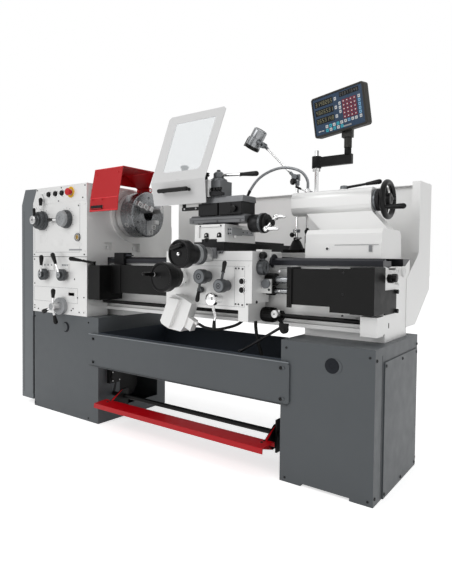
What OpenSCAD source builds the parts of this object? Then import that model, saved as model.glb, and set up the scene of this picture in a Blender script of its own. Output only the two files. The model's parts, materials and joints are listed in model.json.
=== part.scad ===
// Manual engine lathe on two floor cabinets, 1000 mm between centres.
// +X runs along the bed to the tailstock, +Y to the back, +Z up. The origin lies on the floor,
// at the middle of the foundation bolts.

/* [Machine] */
// Length over the two cabinets
base_len = 1936; // [1910:1:1980]
// Depth of the cabinets
base_depth = 480; // [470:1:500]
// Height of the cabinets
cabinet_h = 528; // [510:1:545]
// Height of the bed ways above the floor
bed_top = 831; // [820:1:845]
// Height of the spindle above the bed ways
centre_h = 226; // [215:1:232]
// Distance of the bed's centre line behind the middle of the cabinets
bed_y = 50; // [45:1:55]

/* [Base] */
// Length of the cabinet under the headstock
left_cab_len = 543; // [520:1:550]
// Length of the cabinet under the tailstock
right_cab_len = 357; // [340:1:370]
// Sheet thickness of the cabinets
cab_wall = 4; // [3:0.5:5]
// Thickness of the cabinet floor plates
cab_floor = 10; // [8:1:14]
// Radius of the foundation bolt holes
anchor_r = 9; // [7:0.5:11]
// Distance of the foundation bolts from the cabinets' ends
anchor_end = 68; // [60:1:80]
// Distance of the foundation bolts from the cabinets' fronts and backs
anchor_side = 40; // [35:1:50]
// Height of the chip tray walls above its bottom
tray_depth = 156; // [120:1:165]
// Height of the front panel
panel_h = 164; // [140:1:180]

/* [Headstock] */
// Length of the headstock casing
hs_len = 466; // [450:1:470]
// Depth of the headstock casing
hs_depth = 460; // [450:1:470]
// Height of the headstock casing above the bed ways
hs_h = 370; // [360:1:380]
// Wall of the headstock casing
hs_wall = 12; // [10:1:14]
// Radius of the spindle at its front bearing
spindle_r = 55; // [50:1:58]
// Radius of the hole through the spindle
bore_r = 29; // [24:1:30]
// Length of the end cover along the lathe
end_cover_len = 109; // [100:1:115]

/* [Chuck] */
// Radius of the chuck body
chuck_r = 119; // [112:1:122]
// Length of the chuck body
chuck_len = 90; // [80:1:94]
// Length of the chuck's back plate
backplate_len = 37; // [30:1:40]
// Radius of the circle that the jaw tips stand on
jaw_open_r = 33; // [31:1:36]
// Length of the chuck guard along the lathe
guard_len = 205; // [190:1:210]

/* [Bed] */
// Width over the bed ways
bed_w = 314; // [306:1:320]
// Distance from the right end of the bed to the end of the cabinet
bed_end_gap = 27; // [20:1:40]
// Thickness of the way slabs
way_t = 29; // [24:1:34]
// Height of the V way above the flat way
vee_h = 9; // [7:0.5:10]
// Distance of the feed shafts in front of the bed's centre line
rod_out = 180; // [176:1:184]
// Radius of the leadscrew
leadscrew_r = 15; // [13:0.5:16]
// Radius of the feed rod
feed_rod_r = 11; // [9:0.5:12]
// Radius of the control rod
control_rod_r = 9; // [8:0.5:10]

/* [Carriage] */
// Place of the carriage's middle along the bed
car_x = 275; // [240:1:290]
// Length of the carriage along the bed
car_len = 490; // [470:1:500]
// Height of the apron
apron_h = 195; // [185:1:200]
// Wall of the apron casting
apron_wall = 10; // [8:1:12]
// Width of the cross slide
cross_w = 155; // [145:1:165]
// Radius of the carriage handwheel
car_wheel_r = 62; // [56:1:66]
// Radius of the cross-feed handwheel
cross_wheel_r = 55; // [50:1:60]
// Width of the tool post
post_w = 80; // [76:1:90]
// Height of the tool post
post_h = 78; // [70:1:84]
// Width of the chip shield
shield_w = 325; // [300:1:335]
// Height of the upper leaf of the chip shield
shield_h = 337; // [300:1:345]

/* [Tailstock] */
// Place of the tailstock's left foot along the bed
ts_x = 608; // [604:1:620]
// Length of the tailstock foot
ts_len = 307; // [295:1:310]
// Length of the tailstock barrel
barrel_len = 342; // [320:1:350]
// Width of the tailstock barrel
barrel_w = 96; // [90:1:100]
// Radius of the quill
quill_r = 30; // [26:1:34]
// Radius of the tailstock handwheel
ts_wheel_r = 76; // [70:1:80]

/* [Guards and fittings] */
// Distance of the splash guard behind the cabinets' middle
guard_y = 496; // [480:1:505]
// Height of the splash guard's top above the floor
guard_top = 1165; // [1150:1:1180]
// Sheet thickness of the guards
sheet_t = 2.5; // [2:0.5:3]
// Width of the readout display
display_w = 300; // [280:1:320]
// Height of the readout display
display_h = 200; // [190:1:210]

/* [Hidden] */
$fn = 48;

// Radial clearance of a shaft in its bore, and the gap between pieces that slide on each other
fit = 0.05;
gap = 0.3;

// Main planes
x_left = -base_len / 2;
x_right = base_len / 2;
y_front = -base_depth / 2;
y_back = base_depth / 2;
spin_z = bed_top + centre_h;
hs_x0 = x_left - 12;
hs_x1 = hs_x0 + hs_len;
hs_y1 = y_front + hs_depth;
hs_top = bed_top + hs_h;
bed_x1 = x_right - bed_end_gap;
bed_y0 = bed_y - bed_w / 2;
bed_y1 = bed_y + bed_w / 2;
flat_top = bed_top - vee_h;
way_bottom = bed_top - way_t;
bed_bottom = cabinet_h + 32;
front_wall_y = bed_y0 + 15;
tray_x0 = x_left + left_cab_len;
tray_x1 = x_right - right_cab_len;

// Feed shafts
rod_y = bed_y - rod_out;
leadscrew_z = bed_top - 86;
feed_rod_z = bed_top - 131;
control_rod_z = bed_top - 228;
rod_x1 = bed_x1 - 12;

// Carriage
car_x0 = car_x - car_len / 2;
car_x1 = car_x + car_len / 2;
seam_z = bed_top - 13;
apron_y0 = y_front;
apron_y1 = bed_y0 - 8;
apron_z0 = seam_z - apron_h;
saddle_top = bed_top + 25;
slab_top = bed_top + 62;
cross_x = car_x - 8;
cross_top = bed_top + 134;
comp_y = y_front + 78;
comp_z = cross_top + gap;
slide_z = comp_z + 40;
post_x = cross_x - 12;
post_y = comp_y - 3;
post_z = slide_z + 75;
screw_z = bed_top + 11;

// Helpers for blocks and round bars along each axis
module block(p0, p1) { translate(p0) cube(p1 - p0); }
module xbar(r, x0, x1, y, z) { translate([x0, y, z]) rotate([0, 90, 0]) cylinder(r = r, h = x1 - x0); }
module ybar(r, y0, y1, x, z) { translate([x, y0, z]) rotate([-90, 0, 0]) cylinder(r = r, h = y1 - y0); }
module zbar(r, z0, z1, x, y) { translate([x, y, z0]) cylinder(r = r, h = z1 - z0); }
module xcone(ra, rb, x0, x1, y, z) {
    translate([x0, y, z]) rotate([0, 90, 0]) cylinder(r1 = ra, r2 = rb, h = x1 - x0);
}
// Outline in the XZ plane, drawn from y0 to y1
module xz_plate(y0, y1, pts) { translate([0, y1, 0]) rotate([90, 0, 0]) linear_extrude(y1 - y0) polygon(pts); }
// Outline in the YZ plane, drawn from x0 to x1
module yz_plate(x0, x1, pts) {
    translate([x0, 0, 0]) rotate([90, 0, 90]) linear_extrude(x1 - x0) polygon(pts);
}
// Rounded rectangle centred on the origin
module round_rect(w, h, r) {
    square([w - 2 * r, h], center = true);
    square([w, h - 2 * r], center = true);
    for (sx = [-1, 1], sy = [-1, 1]) translate([sx * (w / 2 - r), sy * (h / 2 - r)]) circle(r);
}
// Straight bar between two points, with a taper
module rod_to(p0, p1, r0, r1) {
    v = p1 - p0;
    bar_len = norm(v);
    translate(p0)
        rotate([0, acos(v[2] / bar_len), atan2(v[1], v[0])])
            cylinder(r1 = r0, r2 = r1, h = bar_len);
}
// Black grip that widens towards its rounded end
module grip(p0, p1, r0, r1) {
    v = p1 - p0;
    bar_len = norm(v);
    translate(p0) rotate([0, acos(v[2] / bar_len), atan2(v[1], v[0])])
        rotate_extrude() polygon(concat(
            [[0, 0], [r0, 0]],
            [for (a = [0:15:75]) [r1 * cos(a), bar_len + r1 * sin(a)]],
            [[0, bar_len + r1]]
        ));
}
// Round-headed screw standing on a plane that faces -Y
module front_screw(x, z, y, r = 5) { ybar(r, y - 3, y, x, z); }
// Sheet folded along a line of YZ points, drawn from x0 to x1; its thickness lies to the right of the line
function side_normal(a, b) = [b[1] - a[1], a[0] - b[0]] / norm(b - a);
function offset_point(pts, i, t) =
    i == 0 ? pts[0] + t * side_normal(pts[0], pts[1])
    : i == len(pts) - 1 ? pts[i] + t * side_normal(pts[i - 1], pts[i])
    : let (n0 = side_normal(pts[i - 1], pts[i]), n1 = side_normal(pts[i], pts[i + 1]))
        pts[i] + t * (n0 + n1) / (1 + n0 * n1);
module folded_sheet(x0, x1, pts, t) {
    back = [for (i = [len(pts) - 1:-1:0]) offset_point(pts, i, t)];
    yz_plate(x0, x1, concat(pts, back));
}

// ---- Base ----
brake_y = y_front + 100;
brake_z = 135;
brake_r = 11;
boss_r = 20;
boss_len = 25;
motor_y = 20;
motor_z = 150;
motor_r = 95;
motor_shaft_r = 14;
foot_notch = [x_right - 270, x_right - 83];

module cabinet_shell(x0, x1) {
    difference() {
        block([x0, y_front, 0], [x1, y_back, cabinet_h]);
        block([x0 + cab_wall, y_front + cab_wall, cab_floor],
              [x1 - cab_wall, y_back - cab_wall, cabinet_h - 6]);
    }
}
module anchor_holes(side) {
    for (sy = [-1, 1])
        zbar(anchor_r, -1, cab_floor + 1, side * (x_right - anchor_end), sy * (y_back - anchor_side));
}
module left_cabinet() {
    color("#55595c") {
        difference() {
            union() {
                cabinet_shell(x_left, tray_x0);
                // Bearing of the brake shaft
                xbar(boss_r, tray_x0 - boss_len, tray_x0, brake_y, brake_z);
                // Lug under the end cover's lower hinge
                block([x_left - 10, min(hinge_y - 8, y_back - 20), 300], [x_left, hinge_y + 8, 318]);
            }
            anchor_holes(-1);
            xbar(brake_r + fit, tray_x0 - boss_len - 1, tray_x0 + 1, brake_y, brake_z);
            // Opening under the bed's left end, behind the chip tray
            block([tray_x0 - cab_wall - 1, -100, 60], [tray_x0 + 1, 176, 290]);
            // Way out of the motor shaft
            xbar(motor_shaft_r + 16, x_left - 1, x_left + cab_wall + 1, motor_y, motor_z);
            ybar(21, y_front - 1, y_front + cab_wall + 1, x_left + 278, cabinet_h - 66);
        }
        // Plug of the front hole
        ybar(21, y_front - 4, y_front + cab_wall, x_left + 278, cabinet_h - 66);
        // Lower hinge pin of the end cover
        zbar(4, 300, 380, hinge_x, hinge_y);
        block([hinge_x, hinge_y - 8, 300], [x_left, hinge_y + 4, 310]);
    }
    // Brake switch
    color("#8a8f94") {
        block([tray_x0 + gap, -185, 195], [tray_x0 + 22, -115, 265]);
        xbar(26, tray_x0 + 22, tray_x0 + 30, -150, 230);
    }
}
module right_cabinet() {
    color("#55595c") {
        difference() {
            union() {
                cabinet_shell(tray_x1, x_right);
                xbar(boss_r, tray_x1, tray_x1 + boss_len, brake_y, brake_z);
                // Cover of the coolant pump bay on the outer side
                block([x_right, -156, 0], [x_right + 5, 224, 475]);
                for (y = [-144, 212], z = [14, 461]) xbar(5, x_right + 5, x_right + 7.5, y, z);
            }
            anchor_holes(1);
            xbar(brake_r + fit, tray_x1 - 1, tray_x1 + boss_len + 1, brake_y, brake_z);
            block([foot_notch[0], y_front - 1, -1], [foot_notch[1], y_front + 60, cab_floor]);
            ybar(25, y_front - 1, y_front + cab_wall + 1, x_right - 141, cabinet_h - 72);
        }
        ybar(25, y_front - 2, y_front + cab_wall, x_right - 141, cabinet_h - 72);
    }
}
panel_z0 = 286;
module front_panel() {
    x0 = tray_x0 - 62;
    x1 = tray_x1 + 39;
    z1 = panel_z0 + panel_h;
    cut = 14;
    color("#5d6166") {
        difference() {
            xz_plate(y_front - 8, y_front, [
                [x0 + cut, panel_z0], [x1 - cut, panel_z0], [x1, panel_z0 + cut], [x1, z1 - cut],
                [x1 - cut, z1], [x0 + cut, z1], [x0, z1 - cut], [x0, panel_z0 + cut]
            ]);
            block([x0 + cut, y_front - 8 + sheet_t, panel_z0 + sheet_t],
                  [x1 - cut, y_front + 1, z1 - sheet_t]);
        }
        for (x = [x0 + 24, x1 - 24], z = [panel_z0 + 24, z1 - 24])
            ybar(6, y_front - 11, y_front, x, z);
    }
}
tray_z0 = 300;
module chip_tray() {
    color("#2a3038") difference() {
        block([tray_x0, y_front + 2, tray_z0], [tray_x1, y_back, tray_z0 + tray_depth]);
        block([tray_x0 + sheet_t, y_front + 2 + sheet_t, tray_z0 + sheet_t],
              [tray_x1 - sheet_t, y_back - sheet_t, tray_z0 + tray_depth + 1]);
    }
}
// Main motor with its pulley, the belt and the input pulley of the headstock
belt_x0 = hs_x0 - 72;
pulley_len = 45;
motor_pulley_r = 50;
input_pulley_r = 100;
input_y = -60;
input_z = hs_top - 221;
belt_t = 8;
module belt_run(side) {
    span = [input_y - motor_y, input_z - motor_z];
    turn = atan2(span[1], span[0]) + side * acos((motor_pulley_r - input_pulley_r) / norm(span));
    n = [cos(turn), sin(turn)];
    a = [motor_y, motor_z] + (motor_pulley_r - 2) * n;
    b = [input_y, input_z] + (input_pulley_r - 2) * n;
    yz_plate(belt_x0 + 6, belt_x0 + pulley_len - 6, [a, b, b + (belt_t + 1) * n, a + (belt_t + 1) * n]);
}
module main_motor() {
    motor_x0 = x_left + 180;
    motor_x1 = tray_x0 - 95;
    color("#3c4c60") difference() {
        union() {
            xbar(motor_r, motor_x0, motor_x1, motor_y, motor_z);
            // Cooling ribs
            for (a = [0:20:340]) translate([0, motor_y, motor_z]) rotate([a, 0, 0])
                block([motor_x0 + 20, -1.5, motor_r - 4], [motor_x1 - 40, 1.5, motor_r + 10]);
            xbar(60, motor_x0 - 20, motor_x0, motor_y, motor_z);
            block([motor_x0 + 60, motor_y - 60, motor_z + 80], [motor_x0 + 160, motor_y + 60, motor_z + 140]);
        }
        block([motor_x0 - 1, motor_y - 200, cab_floor - 60], [motor_x1 + 1, motor_y + 200, cab_floor + 30]);
    }
    color("#3c4c60") for (y = [motor_y - 85, motor_y + 55])
        block([motor_x0 + 45, y, cab_floor], [motor_x1 - 46, y + 30, motor_z - 40]);
    color("#8a8f94") xbar(motor_shaft_r, belt_x0, motor_x0, motor_y, motor_z);
    color("#6b6f73") {
        xbar(motor_pulley_r, belt_x0, belt_x0 + pulley_len, motor_y, motor_z);
        xbar(input_pulley_r, belt_x0, belt_x0 + pulley_len, input_y, input_z);
        xbar(18, belt_x0 + pulley_len, hs_x0, input_y, input_z);
    }
    color("#1c1c1c") {
        for (side = [-1, 1]) belt_run(side);
        xbar(motor_pulley_r + belt_t, belt_x0 + 6, belt_x0 + pulley_len - 6, motor_y, motor_z);
        xbar(input_pulley_r + belt_t, belt_x0 + 6, belt_x0 + pulley_len - 6, input_y, input_z);
    }
}
// Long treadle on its cross shaft
module brake_pedal() {
    tread_x0 = tray_x0 + 35;
    tread_x1 = tray_x1 - 43;
    tread_y = y_front + 40;
    color("#b8000f") {
        xbar(brake_r, tray_x0 - boss_len, tray_x1 + boss_len, brake_y, brake_z);
        // Folded treadle
        folded_sheet(tread_x0, tread_x1, [
            [tread_y - 8, 104], [tread_y - 8, 120], [tread_y - 20, 124],
            [tread_y - 90, 120], [tread_y - 92, 102]
        ], 4);
        for (x = [tread_x0 + 42, tread_x1 - 33])
            yz_plate(x, x + 10, [
                [brake_y + 20, brake_z - 50], [brake_y + 20, brake_z + 38], [brake_y - 20, brake_z + 38],
                [tread_y - 40, 119], [tread_y - 60, 106], [brake_y - 40, 80]
            ]);
    }
}

// ---- Bed ----
way_w = 87;
wall_t = 24;
rib_pitch = (bed_x1 - x_left + 11) / 8;
rear_wall_y = bed_y1 - 15;
module bed() {
    color("#dcdcdc") {
        difference() {
            union() {
                // Front way with its V, and the flat rear way
                yz_plate(x_left, bed_x1, [
                    [bed_y0, way_bottom], [bed_y0, flat_top], [bed_y0 + 11, flat_top],
                    [bed_y0 + 23, bed_top], [bed_y0 + 35, flat_top], [bed_y0 + way_w, flat_top],
                    [bed_y0 + way_w, way_bottom]
                ]);
                block([x_left, bed_y1 - way_w, way_bottom], [bed_x1, bed_y1, bed_top]);
            }
            // Seat of the headstock
            block([x_left - 1, bed_y0 - 1, hs_z0], [hs_x1, bed_y1 + 1, bed_top + 1]);
        }
        // Walls with bottom flanges
        block([x_left, front_wall_y, bed_bottom], [bed_x1, front_wall_y + wall_t, way_bottom]);
        block([x_left, rear_wall_y - wall_t, bed_bottom], [bed_x1, rear_wall_y, way_bottom]);
        block([x_left, bed_y0, bed_bottom], [bed_x1, front_wall_y + 34, bed_bottom + 15]);
        block([x_left, rear_wall_y - 34, bed_bottom], [bed_x1, bed_y1, bed_bottom + 15]);
        // Cross ribs
        for (i = [0:7])
            block([x_left + 60 + i * rib_pitch, front_wall_y + wall_t, bed_bottom],
                  [x_left + 80 + i * rib_pitch, rear_wall_y - wall_t, way_bottom - 20]);
        // Feet
        block([x_left, bed_y0 + 32, cabinet_h], [tray_x0, bed_y1 - 28, bed_bottom]);
        block([tray_x1 + 11, bed_y0 + 32, cabinet_h], [bed_x1, bed_y1 - 28, bed_bottom]);
        // Block at the right front that carries the end of the control rod
        difference() {
            block([bed_x1 - 61, rod_y - 26, bed_bottom - 5], [bed_x1, front_wall_y, control_rod_z + 22]);
            xbar(control_rod_r + fit, bed_x1 - 62, rod_x1 + 1, rod_y, control_rod_z);
        }
        // End plate with its round boss
        difference() {
            block([bed_x1 - 10, front_wall_y, bed_bottom], [bed_x1, bed_y1, way_bottom]);
            block([bed_x1 - 11, bed_y0 + 60, way_bottom - 12], [bed_x1 + 1, bed_y1 - 90, way_bottom - 6]);
        }
        xbar(34, bed_x1, bed_x1 + 14, bed_y - 6, way_bottom - 36);
    }
    color("#1f1f1f") {
        // Clamp screw of the end plate
        xbar(7, bed_x1, bed_x1 + 8, bed_y0 + 33, bed_top - 71);
        xbar(16, bed_x1 + 8, bed_x1 + 26, bed_y0 + 33, bed_top - 71);
    }
    // Carriage stop on the V way
    color("#4a4a4a") {
        difference() {
            block([tray_x0 - 21, bed_y0 - 14, way_bottom - 8], [tray_x0 + 48, bed_y0 + 42, bed_top + 22]);
            block([tray_x0 - 22, bed_y0, way_bottom - 9], [tray_x0 + 49, bed_y0 + 43, flat_top]);
        }
        xcone(9, 3, tray_x0 + 48, tray_x0 + 95, bed_y0 + 8, bed_top + 8);
    }
}
cover_y = rod_y - 30;
cover_z0 = bed_top - 176;
cover_z1 = bed_top - 43;
right_cover_x = car_x1 + 78;
left_cover_x = car_x0 + 2;
box_x0 = hs_x1 + 9;
box_x1 = tray_x0 + 8;
bracket_x0 = bed_x1 - 83;
// Sheet that covers the feed shafts, with lips that reach back to the bed
module shaft_cover(x0, x1, grow) {
    folded_sheet(x0, x1, [
        [front_wall_y, cover_z1 + grow], [cover_y - grow, cover_z1 + grow],
        [cover_y - grow, cover_z0 - grow], [cover_y + 12, cover_z0 - grow]
    ], 2);
}
module leadscrew_cover() {
    color("#1f1f1f") {
        shaft_cover(box_x1 - 3, left_cover_x, 0);
        shaft_cover(right_cover_x, bracket_x0, 0);
        // Fixed frame at the left end of the right-hand cover
        block([right_cover_x - 8, cover_y - 8, cover_z0 - 14], [right_cover_x + 12, cover_y - 2, cover_z1]);
        block([right_cover_x - 8, cover_y - 8, cover_z1], [right_cover_x + 12, front_wall_y, cover_z1 + 8]);
        for (z = [cover_z0, (cover_z0 + cover_z1) / 2, cover_z1 - 14])
            ybar(4, cover_y - 11, cover_y - 8, right_cover_x + 2, z);
        // Box beside the gearbox
        difference() {
            block([box_x0, y_front, cover_z0 - 38], [box_x1, front_wall_y, cover_z1]);
            block([box_x0 - 1, y_front + 3, cover_z0 - 35], [box_x1 + 1, front_wall_y + 1, cover_z1 - 3]);
        }
        difference() {
            block([box_x1 - 3, y_front, cover_z0 - 38], [box_x1, front_wall_y, cover_z1]);
            block([box_x1 - 4, cover_y, cover_z0], [box_x1 + 1, front_wall_y + 1, cover_z1 + 1]);
        }
        // Outer sleeve of the left-hand cover
        shaft_cover(box_x1, box_x1 + 67, 3.5);
        // Seat of the direction lever
        zbar(13, cover_z1, cover_z1 + 4, lever_x, lever_y);
    }
}
module end_bracket() {
    color("#1f1f1f") {
        difference() {
            block([bracket_x0, cover_y - 40, cover_z0 - 20], [bed_x1, front_wall_y, cover_z1 + 11]);
            block([bracket_x0 - 1, cover_y - 37, cover_z0 - 17], [bed_x1 - 33, front_wall_y + 1, cover_z1 + 8]);
            xbar(leadscrew_r - 5 + fit, bed_x1 - 34, rod_x1 + 1, rod_y, leadscrew_z);
            xbar(feed_rod_r + fit, bed_x1 - 34, rod_x1 + 1, rod_y, feed_rod_z);
        }
        // Outer cover that runs over the right end of the sheet
        difference() {
            block([bracket_x0 - 76, cover_y - 38, cover_z0 - 18], [bracket_x0, cover_y - 2, cover_z1 + 6]);
            block([bracket_x0 - 73, cover_y - 35, cover_z0 - 15], [bracket_x0 + 1, cover_y - 1, cover_z1 + 3]);
        }
        // Flange that reaches across the end of the bed
        block([bed_x1, cover_y - 40, cover_z0 - 20], [bed_x1 + 4, front_wall_y, cover_z1 + 11]);
        block([bed_x1, front_wall_y, cover_z0 - 26], [bed_x1 + 4, bed_y - 16, cover_z0 + 62]);
        for (z = [cover_z0 - 18, cover_z0 + 54]) xbar(8, bed_x1 + 4, bed_x1 + 14, bed_y - 24, z);
    }
}

// ---- Headstock ----
hs_z0 = bed_top - 1;
slope_w = 37;
slope_h = 79;
hinge_x = hs_x0 - 4;
hinge_y = hs_y1 + 8;
guard_hinge_y = bed_y + 42;
guard_hinge_z = hs_top - 9;
dial_z = hs_top - 176;
left_dial_x = hs_x0 + 93;
right_dial_x = hs_x1 - 163;
button_z = hs_top - 39;
button_x = [hs_x0 + 156, hs_x0 + 215, hs_x0 + 271];
stop_x = hs_x0 + 341;
button_stem_r = 8;
knob_shaft_r = 10;
gear_lever_z = bed_top - 96;
gear_lever_x = [hs_x0 + 125, hs_x1 - 178];
selector_x = hs_x1 - 202;
selector_z = bed_top - 260;
box_back_y = hs_y1 + 210;
guard_x0 = hs_x1 - 46;
elec_x1 = guard_x0;
panel_y = y_front - 2;
rear_r = spindle_r - 10;
inner_boss_r = 80;
module hs_outline(inset) {
    polygon([
        [hs_x0 + inset, hs_z0 + inset], [hs_x1 - inset, hs_z0 + inset], [hs_x1 - inset, hs_top - inset],
        [hs_x0 + slope_w + inset / 2, hs_top - inset], [hs_x0 + inset, hs_top - slope_h - inset / 2]
    ]);
}
module headstock() {
    color("#dcdcdc") difference() {
        union() {
            difference() {
                translate([0, hs_y1, 0]) rotate([90, 0, 0]) linear_extrude(hs_depth) hs_outline(0);
                translate([0, hs_y1 - hs_wall, 0]) rotate([90, 0, 0])
                    linear_extrude(hs_depth - 2 * hs_wall) hs_outline(hs_wall);
            }
            // Bearing housings
            xbar(inner_boss_r, hs_x1 - 60, hs_x1, bed_y, spin_z);
            xbar(inner_boss_r, hs_x0, hs_x0 + 55, bed_y, spin_z);
            xbar(chuck_r + 20, hs_x1, hs_x1 + 9, bed_y, spin_z);
            // Backing of the two bolt pockets
            for (y = [-135, 62]) block([hs_x1 - 34, y, hs_z0], [hs_x1 - hs_wall, y + 65, hs_z0 + 82]);
            // Panel of the push buttons
            block([hs_x0 + slope_w, panel_y, hs_top - 86], [hs_x1, y_front, hs_top]);
        }
        xbar(spindle_r + fit, hs_x1 - 61, hs_x1 + 10, bed_y, spin_z);
        xbar(rear_r + fit, hs_x0 - 1, hs_x0 + 56, bed_y, spin_z);
        for (y = [-130, 67]) block([hs_x1 - 24, y, hs_z0 + 30], [hs_x1 + 1, y + 55, hs_z0 + 77]);
        for (x = button_x) ybar(button_stem_r + fit, y_front - 3, y_front + hs_wall + 1, x, button_z);
        ybar(button_stem_r + fit, y_front - 3, y_front + hs_wall + 1, stop_x, button_z);
        for (x = [left_dial_x, right_dial_x])
            ybar(knob_shaft_r + fit, y_front - 1, y_front + hs_wall + 1, x, dial_z);
    }
    color("#8a8f94") {
        // Bolts in the pockets
        for (y = [-76 - 18, 114 - 22]) xbar(9, hs_x1 - 24, hs_x1 - 12, y, hs_z0 + 50);
        // Hinge rod of the chuck guard
        xbar(8, hs_x1, hs_x1 + 112, guard_hinge_y, guard_hinge_z);
        // Hinge pins of the end cover
        for (z = [hs_z0 + 40, hs_top - 160]) {
            zbar(4, z, z + 70, hinge_x, hinge_y);
            block([hinge_x, hs_y1, z], [hinge_x + 24, hinge_y + 4, z + 8]);
        }
    }
    color("#c8c8c8") {
        ybar(9, panel_y - 8, panel_y, left_dial_x + 9, button_z);
        for (x = button_x) difference() {
            ybar(18, panel_y - 3, panel_y, x, button_z);
            ybar(15, panel_y - 4, panel_y + 1, x, button_z);
        }
    }
    color("#e2b400") difference() {
        ybar(29, panel_y - 3, panel_y, stop_x, button_z);
        ybar(15, panel_y - 4, panel_y + 1, stop_x, button_z);
    }
    // Oil sight glass
    color("#303030") difference() {
        ybar(20, y_front - 7, y_front, hs_x1 - 73, hs_z0 + 100);
        ybar(13, y_front - 8, y_front - 3, hs_x1 - 73, hs_z0 + 100);
    }
    color("#dcdcdc") for (x = [hs_x0 + 30, hs_x1 - 16], z = [hs_z0 + 30, hs_top - 104])
        front_screw(x, z, y_front);
    // Electrical cabinet behind the headstock
    color("#dcdcdc") difference() {
        block([hs_x0 + 40, hs_y1, bed_bottom], [elec_x1, box_back_y, hs_top - 51]);
        block([hs_x0 + 43, hs_y1 + 3, bed_bottom + 3], [elec_x1 - 3, box_back_y - 3, hs_top - 54]);
    }
    color("#1f1f1f") block([elec_x1 - 30, box_back_y, hs_top - 260], [elec_x1 - 14, box_back_y + 20, hs_top - 180]);
}
module feed_gearbox() {
    wall = 10;
    color("#dcdcdc") difference() {
        union() {
            difference() {
                block([hs_x0, y_front, cabinet_h], [hs_x1, bed_y0, hs_z0]);
                block([hs_x0 + wall, y_front + wall, cabinet_h + wall], [hs_x1 - wall, bed_y0 - wall, hs_z0 - wall]);
            }
            // Index blocks behind the two gear levers
            block([gear_lever_x[0] - 50, y_front - 8, gear_lever_z + 22],
                  [gear_lever_x[0] + 73, y_front, gear_lever_z + 64]);
            block([gear_lever_x[1] - 17, y_front - 8, gear_lever_z + 18],
                  [gear_lever_x[1] + 38, y_front, gear_lever_z + 58]);
            for (x = [hs_x0 + 30, hs_x1 - 16], z = [cabinet_h + 24, hs_z0 - 22]) front_screw(x, z, y_front);
        }
        for (x = gear_lever_x) ybar(knob_shaft_r + fit, y_front - 1, y_front + wall + 1, x, gear_lever_z);
        ybar(knob_shaft_r + fit, y_front - 1, y_front + wall + 1, selector_x, selector_z);
        xbar(leadscrew_r - 5 + fit, hs_x1 - wall - 1, hs_x1 + 1, rod_y, leadscrew_z);
        xbar(feed_rod_r + fit, hs_x1 - wall - 1, hs_x1 + 1, rod_y, feed_rod_z);
        xbar(control_rod_r + fit, hs_x1 - wall - 1, hs_x1 + 1, rod_y, control_rod_z);
    }
}
cover_wall = 3;
module end_cover() {
    color("#6d7175") {
        difference() {
            translate([0, hs_y1, 0]) rotate([90, 0, 0]) linear_extrude(hs_depth) polygon([
                [hs_x0 - end_cover_len - 1, 31], [hs_x0 - 1, 31], [hs_x0 - 1, hs_top - slope_h],
                [hs_x0 + slope_w - 1, hs_top], [hs_x0 - 75, hs_top + 3], [hs_x0 - end_cover_len - 1, hs_top - slope_h - 2]
            ]);
            // Hollow, open towards the headstock
            translate([0, hs_y1 - cover_wall, 0]) rotate([90, 0, 0])
                linear_extrude(hs_depth - 2 * cover_wall) polygon([
                    [hs_x0 - end_cover_len - 1 + cover_wall, 31 + cover_wall], [hs_x0, 31 + cover_wall],
                    [hs_x0, hs_top - slope_h - 8], [hs_x0 + slope_w - 14, hs_top - cover_wall],
                    [hs_x0 - 73, hs_top], [hs_x0 - end_cover_len - 1 + cover_wall, hs_top - slope_h - 4]
                ]);
        }
        difference() {
            union() for (z = [320, hs_z0 + 48, hs_top - 152]) {
                zbar(8, z, z + 40, hinge_x, hinge_y);
                block([hinge_x - 40, hs_y1, z], [hinge_x, hs_y1 + 4, z + 40]);
            }
            zbar(4 + fit, 0, hs_top, hinge_x, hinge_y);
        }
    }
}
guard_path = [
    [guard_y - 26, guard_top], [guard_y + 2, guard_top], [guard_y + 2, bed_top - 129],
    [y_back + 50, bed_bottom + 3], [bed_y1, bed_bottom + 3]
];
post_pole_x = 371;
post_pole_y = guard_y + 19;
post_pole_r = 11;
post_pole_top = guard_top + 223;
module splash_guard() {
    color("#d2d2d2") {
        folded_sheet(guard_x0, bed_x1, guard_path, -sheet_t);
        // Wing that closes the right end, with its inward flange
        yz_plate(bed_x1, bed_x1 + sheet_t, [
            [y_back + 85, guard_top - 4], [guard_y + 2 + sheet_t, guard_top],
            offset_point(guard_path, 2, -sheet_t), offset_point(guard_path, 3, -sheet_t),
            [bed_y1 - 42, bed_bottom + 3 - sheet_t], [bed_y1 - 42, bed_top - 77],
            [y_back + 66, bed_top + 10], [y_back + 85, bed_top + 29]
        ]);
        block([bed_x1 - 30, y_back + 85, bed_top + 29], [bed_x1, y_back + 85 + sheet_t, guard_top - 4]);
    }
    // Pole of the readout, clamped to the back of the guard
    color("#3a3936") {
        zbar(post_pole_r, bed_top - 81, post_pole_top, post_pole_x, post_pole_y);
        for (z = [bed_top - 71, guard_top - 70])
            block([post_pole_x - 22, guard_y + 2 + sheet_t, z], [post_pole_x + 22, post_pole_y, z + 40]);
        zbar(20, arm_z - 14, arm_z - gap, post_pole_x, post_pole_y);
    }
}
gear_teeth = 40;
gear_tip_r = 96;
gear_root_r = 86;
function gear_outline() = [
    for (i = [0:gear_teeth - 1], c = [[0, gear_root_r], [0.25, gear_tip_r], [0.5, gear_tip_r], [0.75, gear_root_r]])
        let (a = (i + c[0]) * 360 / gear_teeth) c[1] * [cos(a), sin(a)]
];
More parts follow.
